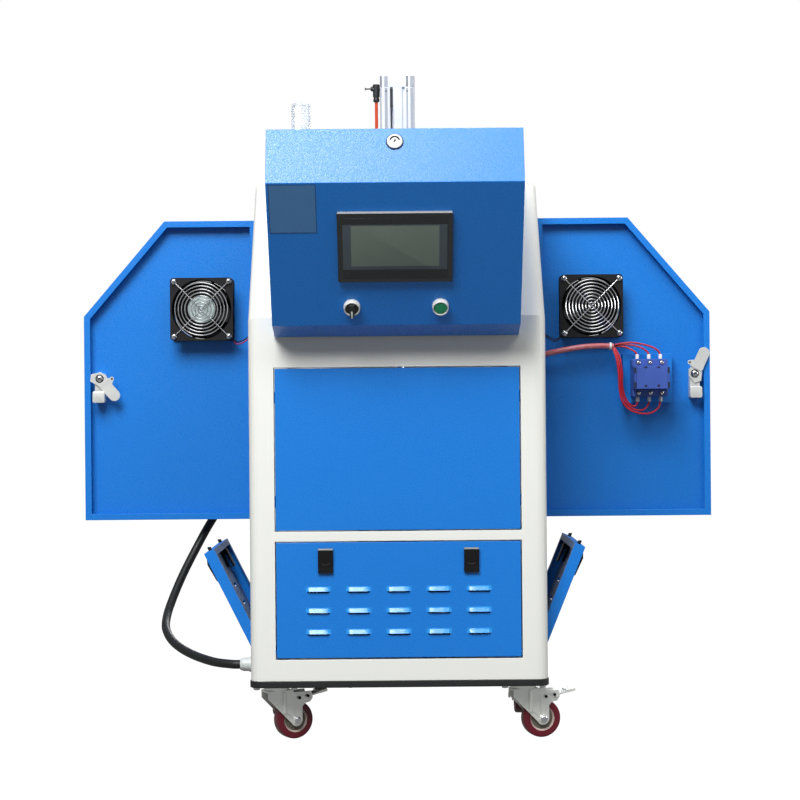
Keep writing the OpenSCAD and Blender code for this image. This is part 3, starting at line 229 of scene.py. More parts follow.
lead_route = [
    (-262, 80, 122), (-274, 80, 122), (-286, 80, 122), (-300, 84, 122), (-335, 106, 124), (-379, 150, 133),
    (-413, 195, 147), (-433, 240, 166), (-437, 285, 187), (-430, 325, 217), (-415, 365, 258), (-394, 398, 303),
    (-366, 420, 355), (-330, 430, 408), (-280, 430, 456), (-244, 428, 478), (-226, 428, 483.6),
    (-204, 428, 483.6), (-186, 428, 478), (-158, 428, 456), (-134, 428, 392), (-130, 428, 310),
    (-130, 430, 220), (-128, 450, 140), (-122, 505, 72), (-112, 580, 28), (-104, 645, 6), (-100, 690, 1),
    (-100, 740, 1),
]
coil_x, coil_depth, coil_radius, coil_pitch, coil_steps = -15, 740, 85, 17, 96
coil = [(coil_x - coil_radius * math.cos(a), coil_depth + coil_radius * math.sin(a),
         1 + coil_pitch * a / (2 * math.pi))
        for a in (6 * math.pi * i / coil_steps for i in range(1, coil_steps))]
tail = [(-100, 740, 52), (-92, 792, 52), (-60, 832, 48), (-12, 850, 36), (34, 847, 23), (62, 832.7, 20),
        (80, 823.5, 20)]
lead_line = through_points(in_frame(lead_route), 5) + in_frame(coil) + through_points(in_frame(tail), 5)
lead_radius = 0.008
lead_curve = tube_curve("power_lead", lead_line, lead_radius, 6)
black_rubber = moulded("black_rubber", srgb(23, 24, 25), 0.46, grain=0.0012, depth=0.2, spread=0.2,
                       Specular_IOR_Level=0.35)
lead_curve.materials.append(black_rubber)
power_lead = bpy.data.objects.new("power_lead", lead_curve)
scene.collection.objects.link(power_lead)
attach(power_lead, "cabinet")
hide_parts("supply_cable", "cable_coil")
lead_length = sum((b - a).length for a, b in zip(lead_line, lead_line[1:]))
black_moulding = moulded("black_moulding", srgb(30, 31, 33), 0.45)
pale_moulding = moulded("pale_moulding", srgb(205, 212, 210), 0.4, spread=0.03)
coat_solid("supply_plug", black_moulding)
coat_solid("cable_gland", pale_moulding)


# Cabinet shell: folded 2 mm sheet in an off-white smooth powder coat, with wide rounded front edges.
# The rear panel is a loose sheet, screwed on, with pressed louvres for the air.
def powder_coat(name, colour, rough, peel, depth, spread=0.035, gloss=0.25):
    made, spot, feed = finish(name, colour, rough, Coat_Roughness=0.25, Coat_Weight=0.08)
    skin, broad, dust = speckle(spot, peel), speckle(spot, 0.25), speckle(spot, 0.004, 4.0)
    feed("Base Color", shades(spot, broad * 0.75 + dust * 0.25, colour, spread))
    feed("Roughness", rough + (skin - 0.5) * gloss)
    feed("Normal", spot.node("ShaderNodeBump", None, {"Strength": depth, "Distance": 0.0004, "Height": skin}))
    return made


def add_piece(name, bm, coat, body, stands_for=(), smooth=35, weighted=False):
    mesh = bpy.data.meshes.new(name)
    bm.to_mesh(mesh)
    bm.free()
    for one in coat if isinstance(coat, list) else [coat]:
        mesh.materials.append(one)
    mesh.shade_smooth()
    mesh.set_sharp_from_angle(angle=math.radians(smooth))
    made = bpy.data.objects.new(name, mesh)
    scene.collection.objects.link(made)
    if weighted:
        made.modifiers.new("flat_faces", "WEIGHTED_NORMAL").keep_sharp = True
    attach(made, body)
    if stands_for:
        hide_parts(*stands_for)
    return made


def softened(node, width, steps=2, corner=40, shortest=0.0, keep=None, beside=0.0):
    """A copy of a solid with its sharp edges rounded, as folding and coating leave them.

    Points that keep turns down are left out. Short edges and edges nearer to the middle than beside stay sharp.
    """
    bm = bmesh.new()
    bm.from_mesh(solids[node].data)
    bmesh.ops.remove_doubles(bm, verts=bm.verts, dist=1e-5)
    if keep:
        bmesh.ops.delete(bm, geom=[v for v in bm.verts if not keep(v.co)], context="VERTS")
    sharp = [e for e in bm.edges if e.is_manifold and e.calc_face_angle() > math.radians(corner)
             and e.calc_length() > shortest and max(abs(v.co.x) for v in e.verts) >= beside]
    bmesh.ops.bevel(bm, geom=sharp, offset=width, offset_type="OFFSET", affect="EDGES", segments=steps,
                    profile=0.5, material=-1, clamp_overlap=False, loop_slide=True)
    return bm


cream_coat = powder_coat("cream_coat", srgb(237, 238, 232), 0.42, 0.0022, 0.10, spread=0.012)
for node in ("front_frame", "side_frames", "top_cover", "rear_panel"):
    add_piece(node + "_sheet", softened(node, 0.0006, shortest=0.012), cream_coat, "cabinet",
              [node], weighted=True)


# Base plate: a black painted slab under the shell that carries the castors.
# Its satin paint varies a little in tone.
black_paint = powder_coat("black_paint", srgb(14, 15, 17), 0.55, 0.0015, 0.15, spread=0.1)
add_piece("base_slab", softened("base_plate", 0.0012), black_paint, "cabinet", ["base_plate"],
          weighted=True)


# Front panels: the fixed upper panel and the three drop flaps are shallow blue pans in a textured coat.
# The flaps have pressed louvres and turn on studs at their lower corners. On the side flaps the faces that turn
# in towards the cabinet are a darker, greyer blue: painted shade.
def to_viewer(x, depth, z):
    """Local z points at the viewer, from a place given in cabinet millimetres."""
    place = Matrix.Translation((x / 1000, (depth - zero_depth) / 1000, (z + datum_height) / 1000))
    return place @ Matrix.Rotation(math.radians(90), 4, "X")


def gather(parts):
    whole = bmesh.new()
    for part in parts:
        mesh = bpy.data.meshes.new("part")
        part.to_mesh(mesh)
        part.free()
        whole.from_mesh(mesh)
        bpy.data.meshes.remove(mesh)
    return whole


def slab(width, height, thick, corner, matrix, edge=0.0):
    """A flat plate with rounded corners on local z = 0, its front edge eased."""
    bm = bmesh.new()
    bmesh.ops.create_cube(bm, size=1,
                          matrix=Matrix.Translation((0, 0, thick / 2))
                          @ Matrix.Diagonal((width, height, thick, 1)))
    upright = [e for e in bm.edges if abs(e.verts[0].co.z - e.verts[1].co.z) > thick / 2]
    bmesh.ops.bevel(bm, geom=upright, offset=corner, offset_type="OFFSET", affect="EDGES", segments=6,
                    profile=0.5, material=-1)
    if edge:
        front = [e for e in bm.edges if min(v.co.z for v in e.verts) > thick - 1e-6]
        bmesh.ops.bevel(bm, geom=front, offset=edge, offset_type="OFFSET", affect="EDGES", segments=3,
                        profile=0.5, material=-1)
    bmesh.ops.transform(bm, matrix=matrix, verts=bm.verts)
    return bm


def scoop(matrix):
    """One louvre: a straight slope that runs out to an open lip below, with rounded ends."""
    bm = bmesh.new()
    across = [-22, -20.5, -19.8, -18.8, -17.5, -16, -14, -7, 0, 7, 14, 16, 17.5, 18.8, 19.8, 20.5, 22]
    rows = []
    for up in (0, 0.9, 1.9, 3, 4.2, 5.4, 6.2, 6.8, 7.3, 8.6):
        ends = [min(1, max(0, (20.4 - 0.3 * up - abs(x)) / 4.5)) ** 0.6 for x in across]
        slope = 0.0039 * max(0, 1 - up / 7.2)
        rows.append([bm.verts.new((x / 1000, up / 1000, 0.0001 + slope * end)) for x, end in zip(across, ends)])
    for low, high in zip(rows, rows[1:]):
        for i in range(len(across) - 1):
            bm.faces.new((low[i], low[i + 1], high[i + 1], high[i]))
    inner = bmesh.ops.extrude_face_region(bm, geom=bm.faces[:])
    bmesh.ops.translate(bm, vec=(0, 0, -0.0008),
                        verts=[v for v in inner["geom"] if isinstance(v, bmesh.types.BMVert)])
    bmesh.ops.recalc_face_normals(bm, faces=bm.faces)
    bmesh.ops.transform(bm, matrix=matrix, verts=bm.verts)
    return bm


blue_coat = powder_coat("blue_coat", srgb(14, 121, 213), 0.36, 0.0023, 0.8, gloss=0.8)
# The louvres' coat is a lighter blue than the panels' as a painted highlight, and it is also glossier.
louvre_highlight_coat = powder_coat("louvre_highlight_coat", srgb(40, 148, 232), 0.2, 0.0023, 0.25, gloss=0.15)
gap_shadow = moulded("gap_shadow", srgb(9, 40, 82), 0.6, Specular_IOR_Level=0.1)
inner_shade_coat = powder_coat("inner_shade_coat", srgb(82, 106, 148), 0.5, 0.003, 0.3)
add_piece("front_upper_panel_pan", softened("front_upper_panel", 0.0008, shortest=0.012), blue_coat, "cabinet",
          ["front_upper_panel"], weighted=True)
skin = softened("front_flap", 0.0008, shortest=0.012, keep=lambda p: p.y > -0.1063)
add_piece("front_flap_pan", skin, blue_coat, "front_flap", ["front_flap"], weighted=True)
louvre_places = [(70 * i, 37 * j) for i in (-2, -1, 0, 1, 2) for j in (0, 1, 2)]
scoops = [scoop(to_viewer(x, 0, 184 + up)) for x, up in louvre_places]
add_piece("front_flap_louvres", gather(scoops), louvre_highlight_coat, "front_flap")
# Under each louvre a dark navy strip on the skin is a painted shadow.
shadow_strips = [slab(0.0380, 0.0024, 0.0002, 0.0006,
               to_viewer(x, 0, 182.5 + up) @ Matrix.Translation((0, 0, 0.00005))) for x, up in louvre_places]
add_piece("front_flap_louvre_mouths", gather(shadow_strips), gap_shadow, "front_flap")
for side, s in (("left", -1), ("right", 1)):
    pan = softened(side + "_flap", 0.0006, shortest=0.012)
    # Faces turned in towards the cabinet get the darker, greyer blue: painted shade.
    for face in pan.faces:
        face.material_index = 1 if face.normal.x * s < -0.3 else 0
    add_piece(side + "_flap_pan", pan, [blue_coat, inner_shade_coat], side + "_flap", [side + "_flap"],
              weighted=True)


# Slide latches: black moulded plates with a bevelled head and a thumb rest, two in each flap.
# They are snapped into slots, with a tongue behind the skin, and slide up to lock.
# On the inside each of the side flaps' latches has a black case.
def plate(outline, thick, matrix, edge=0.0004):
    """An extruded outline, given in millimetres, with eased edges."""
    bm = bmesh.new()
    face = bm.faces.new([bm.verts.new((x / 1000, y / 1000, 0)) for x, y in outline])
    made = bmesh.ops.extrude_face_region(bm, geom=[face])
    bmesh.ops.translate(bm, vec=(0, 0, thick),
                        verts=[v for v in made["geom"] if isinstance(v, bmesh.types.BMVert)])
    bmesh.ops.recalc_face_normals(bm, faces=bm.faces)
    rims = [e for e in bm.edges if abs(e.verts[0].co.z - e.verts[1].co.z) < 1e-7]
    bmesh.ops.bevel(bm, geom=rims, offset=edge, offset_type="OFFSET", affect="EDGES", segments=2, profile=0.5,
                    material=-1)
    bmesh.ops.transform(bm, matrix=matrix, verts=bm.verts)
    return bm


def arc(x, y, radius, start, stop, steps=8):
    return [(x + radius * math.cos(math.radians(start + (stop - start) * k / steps)),
             y + radius * math.sin(math.radians(start + (stop - start) * k / steps))) for k in range(steps + 1)]


latch_black = moulded("latch_black", srgb(11, 11, 13), 0.42, spread=0.1, Specular_IOR_Level=0.25)
latch_top_highlight = moulded("latch_top_highlight", srgb(128, 131, 136), 0.4, spread=0.12)
thumb_rest_highlight = moulded("thumb_rest_highlight", srgb(46, 46, 50), 0.4, spread=0.12)
sideways = Matrix(((0, 0, -1, 0), (-1, 0, 0, 0), (0, 1, 0, 0), (0, 0, 0, 1)))
heads = [softened("front_flap_latches", 0.0004, keep=lambda p: p.y > -0.1058)]
for x in (-127, 127):
    foot = Matrix.Translation((x / 1000, -0.106, 0.298))
    profile = [(0.4, 0), (5.2, 0), (5.0, 9.5), (4.2, 12.5), (5.4, 14.2), (6.4, 39.8), (4.6, 42.6), (0.4, 42.6)]
    head = plate(profile, 0.0262, foot @ Matrix.Translation((0.0131, 0, 0)) @ sideways, edge=0.0006)
    rest = plate(arc(0, 8, 11, 228, 312, 14) + arc(0, 9.3, 11, 309, 231, 14), 0.0005,
                 foot @ Matrix.Translation((0, -0.0053, 0.0165)) @ Matrix.Rotation(math.radians(90), 4, "X"),
                 edge=0.0001)
    # The upward-facing bevel of each latch head is pale grey: a painted highlight.
    for face in head.faces:
        face.material_index = 1 if face.normal.z > 0.3 and face.normal.y < -0.3 else 0
    # The thumb rest is a lighter grey than the latch: a painted highlight on its lip.
    for face in rest.faces:
        face.material_index = 2
    heads += [head, rest]
add_piece("front_flap_latches_moulding", gather(heads), [latch_black, latch_top_highlight, thumb_rest_highlight], "front_slides",
          ["front_flap_latches"], weighted=True)
for side, s, lean in (("left", -1, 26.5), ("right", 1, 22)):
    pivot = Matrix.Translation((s * 0.254, -0.106, 0.160)) @ Matrix.Rotation(math.radians(s * lean), 4, "Y")
    cases = [slab(0.004, 0.022, 0.036, 0.001, pivot @ Matrix.Translation((s * -0.0062, 0.2 + along, 0.139)))
             for along in (-0.1008, 0.1008)]
    moulding = gather([softened(side + "_flap_latches", 0.0006)] + cases)
    add_piece(side + "_flap_latches_moulding", moulding, latch_black, side + "_slides",
              [side + "_flap_latches"], weighted=True)


# Service doors: blue pans with a folded lip all round, hung on two loose-pin hinges at the back edge.
# The hinge barrels are welded to the door skin and the pins to the side frame.
def plated(name, colour, rough, grain=0.002, stretch=(1, 1, 1), spread=0.12, metal=1.0):
    made, spot, feed = finish(name, colour, rough, Metallic=metal)
    along = spot.node("ShaderNodeMapping", None, {"Vector": spot, "Scale": stretch})
    streak, cloud = speckle(along, grain, 3.0), speckle(spot, 0.02, 3.0)
    feed("Base Color", shades(spot, cloud * 0.6 + streak * 0.4, colour, spread))
    feed("Roughness", rough + (cloud - 0.5) * 0.2 + (streak - 0.5) * 0.12)
    feed("Normal", spot.node("ShaderNodeBump", None, {"Strength": 0.06, "Distance": 0.0002, "Height": streak}))
    return made


zinc = plated("zinc", srgb(246, 250, 240), 0.4, grain=0.004, metal=0.65)
coat_solid("hinge_pins", zinc)
for side in ("left", "right"):
    add_piece(side + "_door_pan", softened(side + "_door", 0.0006, shortest=0.012), blue_coat, side + "_door",
              [side + "_door"], weighted=True)


# Fans: 120 mm axial fans on the door skins, each behind a chromed guard of eight wire rings on a cross.
# Four screws hold the guard, and a black filter mat closes the hole in the skin.
# Two leads run past the hinge into the wiring duct.
def lathe(profile, steps, matrix):
    bm = bmesh.new()
    ring = [bm.verts.new((radius, 0, height)) for radius, height in profile]
    line = [bm.edges.new(pair) for pair in zip(ring, ring[1:])]
    bmesh.ops.spin(bm, geom=ring + line, cent=(0, 0, 0), axis=(0, 0, 1), angle=2 * math.pi, steps=steps,
                   use_merge=True)
    bmesh.ops.remove_doubles(bm, verts=bm.verts, dist=1e-6)
    bmesh.ops.recalc_face_normals(bm, faces=bm.faces)
    bmesh.ops.transform(bm, matrix=matrix, verts=bm.verts)
    return bm


def screw(radius, height, matrix):
    """A pan head with a cross recess: two square-sided dark crossbars set into the top stand in for the slots,
    painted shade.
    """
    head = lathe([(0, height), (0.5 * radius, 0.96 * height), (0.85 * radius, 0.7 * height),
                  (radius, 0.3 * height), (radius, 0), (0, 0)], 24, Matrix())
    cross = [bmesh.new(), bmesh.new()]
    for bar, turn in zip(cross, (0, 90)):
        bmesh.ops.create_cube(bar, size=1,
                              matrix=Matrix.Translation((0, 0, 0.93 * height))
                              @ Matrix.Rotation(math.radians(turn), 4, "Z")
                              @ Matrix.Diagonal((1.1 * radius, 0.18 * radius, 0.2 * height, 1)))
        for face in bar.faces:
            face.material_index = 1
    whole = gather([head] + cross)
    bmesh.ops.transform(whole, matrix=matrix, verts=whole.verts)
    return whole


def wire(name, points, radius, coat, sides=8, steps=6):
    """A tube mesh along a smooth line through the points."""
    curve = tube_curve(name, through_points(points, steps), radius, sides // 4)
    holder = bpy.data.objects.new(name + "_line", curve)
    mesh = bpy.data.meshes.new_from_object(holder)
    bpy.data.objects.remove(holder)
    bpy.data.curves.remove(curve)
    mesh.materials.clear()
    mesh.materials.append(coat)
    mesh.name = name
    mesh.shade_smooth()
    made = bpy.data.objects.new(name, mesh)
    scene.collection.objects.link(made)
    return made


def rod(radius, length, matrix, steps=12):
    bm = bmesh.new()
    bmesh.ops.create_cone(bm, cap_ends=True, segments=steps, radius1=radius, radius2=radius, depth=length,
                          matrix=matrix)
    return bm


def ring(radius, thick, matrix, steps=64):
    loop = [(radius + thick * math.cos(a), thick * math.sin(a)) for a in (math.pi * k / 5 for k in range(11))]
    return lathe(loop, steps, matrix)


fan_black = moulded("fan_black", srgb(22, 22, 24), 0.5, spread=0.15, Specular_IOR_Level=0.25)
chrome = plated("chrome", srgb(232, 234, 236), 0.2, grain=0.01, spread=0.05)
steel = plated("steel", srgb(196, 198, 200), 0.26, grain=0.006)
# This near-black fills screw slots, holes, the keyhole and gaps between parts: painted shade.
recess_shade = moulded("recess_shade", srgb(16, 16, 18), 0.7, Specular_IOR_Level=0.1)
hub_paper = moulded("hub_paper", srgb(188, 204, 202), 0.5, spread=0.05)
mat_foam = moulded("mat_foam", srgb(15, 15, 16), 0.9, grain=0.0016, depth=0.9, spread=0.4,
                   Specular_IOR_Level=0.1)
red_sheath = moulded("red_sheath", srgb(192, 28, 42), 0.4, spread=0.12)
black_sheath = moulded("black_sheath", srgb(28, 28, 32), 0.42, spread=0.15)
fan_x, fan_height, bolt_offset = 373, 767, 0.0525
for side, s in (("left", -1), ("right", 1)):
    for part in ("frame", "rotor"):
        coat_solid(f"{side}_fan_{part}", fan_black)
    front = to_viewer(s * fan_x, 339.4, fan_height)
    wires = [ring(0.0062 + 0.00628 * i, 0.00112, front) for i in range(8)]
    for turn in (45, 135):
        wires.append(rod(0.00115, 0.1382,
                         front @ Matrix.Translation((0, 0, -0.0019))
                         @ Matrix.Rotation(math.radians(turn), 4, "Z")
                         @ Matrix.Rotation(math.radians(90), 4, "Y")))
    corners = [(dx, dz) for dx in (-bolt_offset, bolt_offset) for dz in (-bolt_offset, bolt_offset)]
    for dx, dz in corners:
        wires.append(ring(0.0042, 0.00115, front @ Matrix.Translation((dx, dz, -0.0019)), 32))
        wires.append(rod(0.0034, 0.0012, front @ Matrix.Translation((dx, dz, -0.0034)), 24))
    add_piece(side + "_guard_wires", gather(wires), chrome, side + "_door", [side + "_fan_guard"])
    heads = [screw(0.0048, 0.0028, front @ Matrix.Translation((dx, dz, -0.0007))) for dx, dz in corners]
    add_piece(side + "_guard_screws", gather(heads), [steel, recess_shade], side + "_door")
    mat = lathe([(0, 0.0009), (0.0555, 0.0009), (0.0555, -0.0005), (0, -0.0005), (0, 0.0009)], 64,
                to_viewer(s * fan_x, 382.6, fan_height))
    add_piece(side + "_filter_mat", mat, mat_foam, side + "_door")
    disc = lathe([(0, 0.0012), (0.0245, 0.0012), (0.0262, 0.0009), (0.0267, 0.0002), (0.0267, 0), (0, 0)], 48,
                 to_viewer(s * fan_x, 347.4, fan_height))
    add_piece(side + "_fan_hub_disc", disc, hub_paper if side == "left" else fan_black, side + "_fan")
    for colour, coat, lift in (("red", red_sheath if side == "left" else black_sheath, 0),
                               ("black", black_sheath, 4)):
        route = [(314, 370, 706 + lift), (306, 364, 700 + lift), (292, 353, 704 + lift), (277, 349, 716 + lift),
                 (260, 354, 728 + lift), (236, 370, 734 + lift)]
        lead = wire(f"{side}_fan_lead_{colour}", in_frame([(s * x, y, z) for x, y, z in route]), 0.0011, coat)
        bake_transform(lead)
        "wire_red" if colour == "red" else "black_plastic"


# Door latches: die-cast swing levers that turn on a case screwed to the door skin, over a small lock block.
# Each lever is a long rounded plate with an eared hole, folded up from a cam plate on the spindle.
die_cast = plated("die_cast", srgb(216, 218, 215), 0.42, grain=0.003, spread=0.08, metal=0.45)
lever_outline = arc(43, 0, 11, -90, 90, 12) + [(24, 11)] + arc(16, 17, 4.5, 10, 190, 10) + [(9, 8), (9, -11)]
cam_outline = [(12, -10.5), (12, 11), (4, 13.5), (-8, 9.5), (-17, -7), (-8, -17)]
for side, s, lean in (("left", -1, -49), ("right", 1, 66)):
    pivot = to_viewer(s * 571, 360.3, 636)
    case = slab(0.0195, 0.056, 0.0195, 0.003, pivot @ Matrix.Translation((0, -0.0185, -0.0202)), edge=0.001)
    add_piece(side + "_latch_case", case, die_cast, side + "_door", [side + "_latch_body"],
              weighted=True)
    turned = pivot @ Matrix.Rotation(math.radians(lean), 4, "Z")
    lever = gather([plate(lever_outline, 0.0026, turned @ Matrix.Translation((0, 0, 0.0012))),
                    plate(cam_outline, 0.0022, turned)])
    # The eye, a dark disc in place of the lever's hole, and the collar, a dark ring between cam plate and
    # lever, are painted shade.
    eye = rod(0.0019, 0.0003, turned @ Matrix.Translation((0.016, 0.0175, 0.00385)), 20)
    collar = rod(0.0079, 0.0003, turned @ Matrix.Translation((0, 0, 0.0024)), 32)
    add_piece(side + "_latch_handle", lever, die_cast, side + "_latch", [side + "_latch_lever"],
              smooth=30, weighted=True)
    add_piece(side + "_latch_painted_shade", gather([eye, collar]), recess_shade, side + "_latch")
    add_piece(side + "_latch_screw", screw(0.0062, 0.0034, turned @ Matrix.Translation((0, 0, 0.0025))),
              [steel, recess_shade], side + "_latch")
    block = slab(0.0235, 0.0225, 0.0046, 0.004, pivot @ Matrix.Translation((s * 0.0015, -0.0355, 0.0037)),
                 edge=0.0012)
    add_piece(side + "_lock_block", block, die_cast, side + "_door")


# Contactor: a blue-violet three-pole switch on a blue stand-off bracket on the right door.
# Its front block stands between two rows of clamp screws, and each wire ends in a ferrule.
violet_moulding = moulded("violet_moulding", srgb(62, 92, 176), 0.42, spread=0.06)
add_piece("contactor_stand", softened("contactor_bracket", 0.0005), blue_coat, "right_door",
          ["contactor_bracket"], weighted=True)
switch = to_viewer(480, 354.4, 628)
clamp_row = 0.0285
poles = [(dx, dz) for dx in (-0.022, 0, 0.022) for dz in (-clamp_row, clamp_row)]
case = [slab(0.067, 0.071, 0.0305, 0.0015, switch, edge=0.0006)]
case += [slab(0.067, 0.0135, 0.0095, 0.0015, switch @ Matrix.Translation((0, dz, 0.0304)), edge=0.0006)
         for dz in (-clamp_row, clamp_row)]
case.append(slab(0.0665, 0.0425, 0.0375, 0.0012, switch @ Matrix.Translation((0, 0, 0.0304)), edge=0.0006))
case.append(plate([(-29.5, -21), (29.5, -21), (29.5, 10), (25.5, 21), (-25.5, 21), (-29.5, 10)], 0.0032,
                  switch @ Matrix.Translation((0, 0, 0.0678)), edge=0.0009))
add_piece("contactor_case", gather(case), violet_moulding, "right_door", ["contactor"],
          weighted=True)
# The pits under the clamp screws and the openings are dark blue discs and slots: painted shade.
pits = [rod(0.0047, 0.0004, switch @ Matrix.Translation((dx, dz, 0.0399)), 28) for dx, dz in poles]
pits += [rod(0.0026, 0.0004, switch @ Matrix.Translation((dx, -0.0155, 0.0710)), 24) for dx in (-0.012, 0.012)]
pits += [slab(0.006, 0.003, 0.0004, 0.0008, switch @ Matrix.Translation((dx, 0.0195, 0.0708)))
         for dx in (-0.012, 0.012)]
pits += [slab(0.004, 0.011, 0.0004, 0.0006, switch @ Matrix.Translation((dx, dz, 0.0678)))
         for dx in (-0.0315, 0.0315) for dz in (-0.014, 0.014)]
add_piece("contactor_pits", gather(pits), moulded("pit_shade", srgb(20, 26, 52), 0.6), "right_door")
clamps = [screw(0.0036, 0.0014, switch @ Matrix.Translation((dx, dz, 0.0401))) for dx, dz in poles]
add_piece("contactor_screws", gather(clamps), [steel, recess_shade], "right_door")


# Right-door wiring: red wires in a clear sleeve come out of the duct beside the hinge.
# A white tie holds them where three turn up to the contactor's top and three loop down and under it.
def sleeve_finish():
    made, spot, feed = finish("sleeved_wires", srgb(205, 70, 82), 0.3)
    along = spot.node("ShaderNodeMapping", None, {"Vector": spot, "Scale": (0.15, 1.0, 1.0)})
    # The pale pink streaks are partly the sleeve's own milky colour and partly a painted highlight.
    strand, gleam = speckle(along, 0.004, 3.0), speckle(spot, 0.012, 3.0)
    feed("Base Color", spot.node("ShaderNodeMix", {"data_type": "RGBA"},
                                 {0: strand * 0.7 + gleam * 0.5 - 0.25, 6: srgb(176, 30, 46),
                                  7: srgb(232, 176, 182)}, out=2))
    feed("Normal", spot.node("ShaderNodeBump", None, {"Strength": 0.5, "Distance": 0.0008, "Height": strand}))
    return made


trunk_route = [(235.8, 372, 662), (243, 371.6, 662.2), (255, 358, 666), (290, 346, 677), (345, 342, 687),
               (385, 342, 690), (414, 342, 689)]
trunk = wire("wire_trunk", in_frame(trunk_route), 0.0055, sleeve_finish(), sides=16)
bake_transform(trunk)
upper_wires = [
    [(414, 342, 689), (432, 337, 688), (447, 331, 682), (455.5, 328.5, 675), (457, 328, 667),
     (457, 328, 655.05)],
    [(416, 340, 691), (440, 335, 692), (464, 330, 686), (477, 328.4, 677), (479, 328, 667), (479, 328, 655.05)],
    [(416, 338, 692), (448, 333, 695.5), (482, 329.4, 688), (498, 328.2, 678), (501, 328, 667),
     (501, 328, 655.05)],
]
lower_wires = [
    [(415, 336, 686), (424, 330, 668), (428, 327, 640), (428, 326, 615), (433, 326, 592), (443, 327, 577),
     (453, 327.6, 575), (457, 328, 584), (457, 328, 600.95)],
    [(413, 334, 685), (421, 327, 664), (424.5, 323.5, 636), (425, 322.5, 610), (431, 322, 586),
     (446, 322, 570), (466, 324, 567), (477, 327, 577), (479, 328, 588), (479, 328, 600.95)],
    [(412, 333, 684), (418, 325, 662), (421, 320.5, 634), (422, 319, 606), (428, 318, 582), (446, 317.5, 565),
     (475, 319, 560), (495, 324, 570), (500.5, 327.6, 586), (501, 328, 600.95)],
]
for i, route in enumerate(upper_wires + lower_wires):
    one = wire(f"pole_wire_{i + 1}", in_frame(route), 0.0017, red_sheath)
    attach(one, "right_door")
    if i == 0:
        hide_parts("right_door_wiring")
white_nylon = moulded("white_nylon", srgb(232, 232, 228), 0.38, spread=0.03)
sleeve = [(0.0019, 0), (0.0034, 0.0005), (0.0034, 0.008), (0.003, 0.009), (0.0019, 0.0094), (0.0019, 0)]
ferrules = [lathe(sleeve, 20, Matrix.Translation((x / 1000, 0.222, z / 1000)))
            for x in (457, 479, 501) for z in (671.7, 591.1)]
add_piece("ferrules", gather(ferrules), white_nylon, "right_door")
tie = lathe([(0.0056, -0.002), (0.0072, -0.002), (0.0072, 0.002), (0.0056, 0.002), (0.0056, -0.002)], 32,
            Matrix.Translation((0.408, 0.236, 0.6972)) @ Matrix.Rotation(math.radians(92), 4, "Y"))
add_piece("wire_tie", tie, white_nylon, "right_door")


# Console hood: folded blue sheet with an undercut face, turning on two pins at the front frame.
# A plain film stands at the upper left of the face, edged with a darker line.
def on_face(x, down):
    return (Matrix.Translation((0, -0.328, 0.953)) @ Matrix.Rotation(math.radians(123.806), 4, "X")
            @ Matrix.Translation((x / 1000, -down / 1000, 0)))


def on_brow(x, down):
    return (Matrix.Translation((0, -0.296, 1.045)) @ Matrix.Rotation(math.radians(70.82), 4, "X")
            @ Matrix.Translation((x / 1000, -down / 1000, 0)))


add_piece("hood_sheet", softened("console_hood", 0.0008, 3, shortest=0.02, beside=0.11), blue_coat, "hood",
          ["console_hood"], weighted=True)
plain_film = moulded("plain_film", srgb(70, 124, 176), 0.3, grain=0.003, depth=0.03, spread=0.05)
film_edge = moulded("film_edge", srgb(26, 66, 118), 0.3)
label = on_face(-169, 48) @ Matrix.Translation((0, 0, 0.00005))
add_piece("film_edging", slab(0.078, 0.09, 0.0003, 0.0012, label), film_edge, "hood")
add_piece("plain_film", slab(0.0758, 0.0878, 0.00036, 0.001, label), plain_film, "hood")


# Operator panel: a dark moulded bezel bolted through the hood, its top edge painted pale as a highlight, and a
# sunk glass.
# The display is off: a grey-green field, lighter towards its top as a painted sheen, with blue-grey margins
# between two dark strips under the glass.
bezel_moulding = moulded("bezel_moulding", srgb(40, 43, 43), 0.5, grain=0.0008, depth=0.15, spread=0.06)
bezel_top_highlight = moulded("bezel_top_highlight", srgb(150, 150, 148), 0.35, spread=0.05)
panel_place = on_face(-1, 119.0)
glass_width, glass_height = 0.174, 0.1135
bezel = slab(0.1915, 0.131, 0.007, 0.0022, Matrix(), edge=0.0008)
front = max(bezel.faces, key=lambda f: f.calc_area() * f.normal.z)
bmesh.ops.inset_region(bezel, faces=[front], thickness=0.0078, depth=-0.0009)
# Faces along the bezel's top edge get a pale grey: a painted highlight.
for face in bezel.faces:
    face.material_index = 1 if face.normal.y > 0.75 and face.calc_center_median().y > 0.06 else 0
bmesh.ops.transform(bezel, matrix=panel_place @ Matrix.Translation((0, 0, 0.00005)), verts=bezel.verts)
rear_case = slab(0.182, 0.12, 0.0318, 0.002, on_face(0, 121.64) @ Matrix.Translation((0, 0, -0.032)))
add_piece("panel_bezel", gather([bezel, rear_case]), [bezel_moulding, bezel_top_highlight], "hood",
          ["hmi_bezel"], weighted=True)


def display_finish():
    made, spot, feed = finish("display", srgb(88, 98, 92), 0.14)
    u, v = (spot.node("ShaderNodeSeparateXYZ", None, {0: spot.node("ShaderNodeUVMap", {"uv_map": "glass"})},
                      out=k) for k in (0, 1))
    field = (u > 0.08) * (u < 0.923) * (v > 0.196) * (v < 0.87)
    margin = (v > 0.14) * (v < 0.89)
    cloud = speckle(spot, 0.05)
    # The v term makes the field lighter towards its top: a painted sheen.
    lit = shades(spot, cloud * 0.6 + v * 0.35, srgb(106, 118, 108), 0.10)
    rim = spot.node("ShaderNodeMix", {"data_type": "RGBA"},
                    {0: margin, 6: srgb(27, 32, 33), 7: srgb(66, 77, 84)}, out=2)
    feed("Base Color", spot.node("ShaderNodeMix", {"data_type": "RGBA"}, {0: field, 6: rim, 7: lit}, out=2))
    feed("Roughness", 0.12 + cloud * 0.08)
    return made


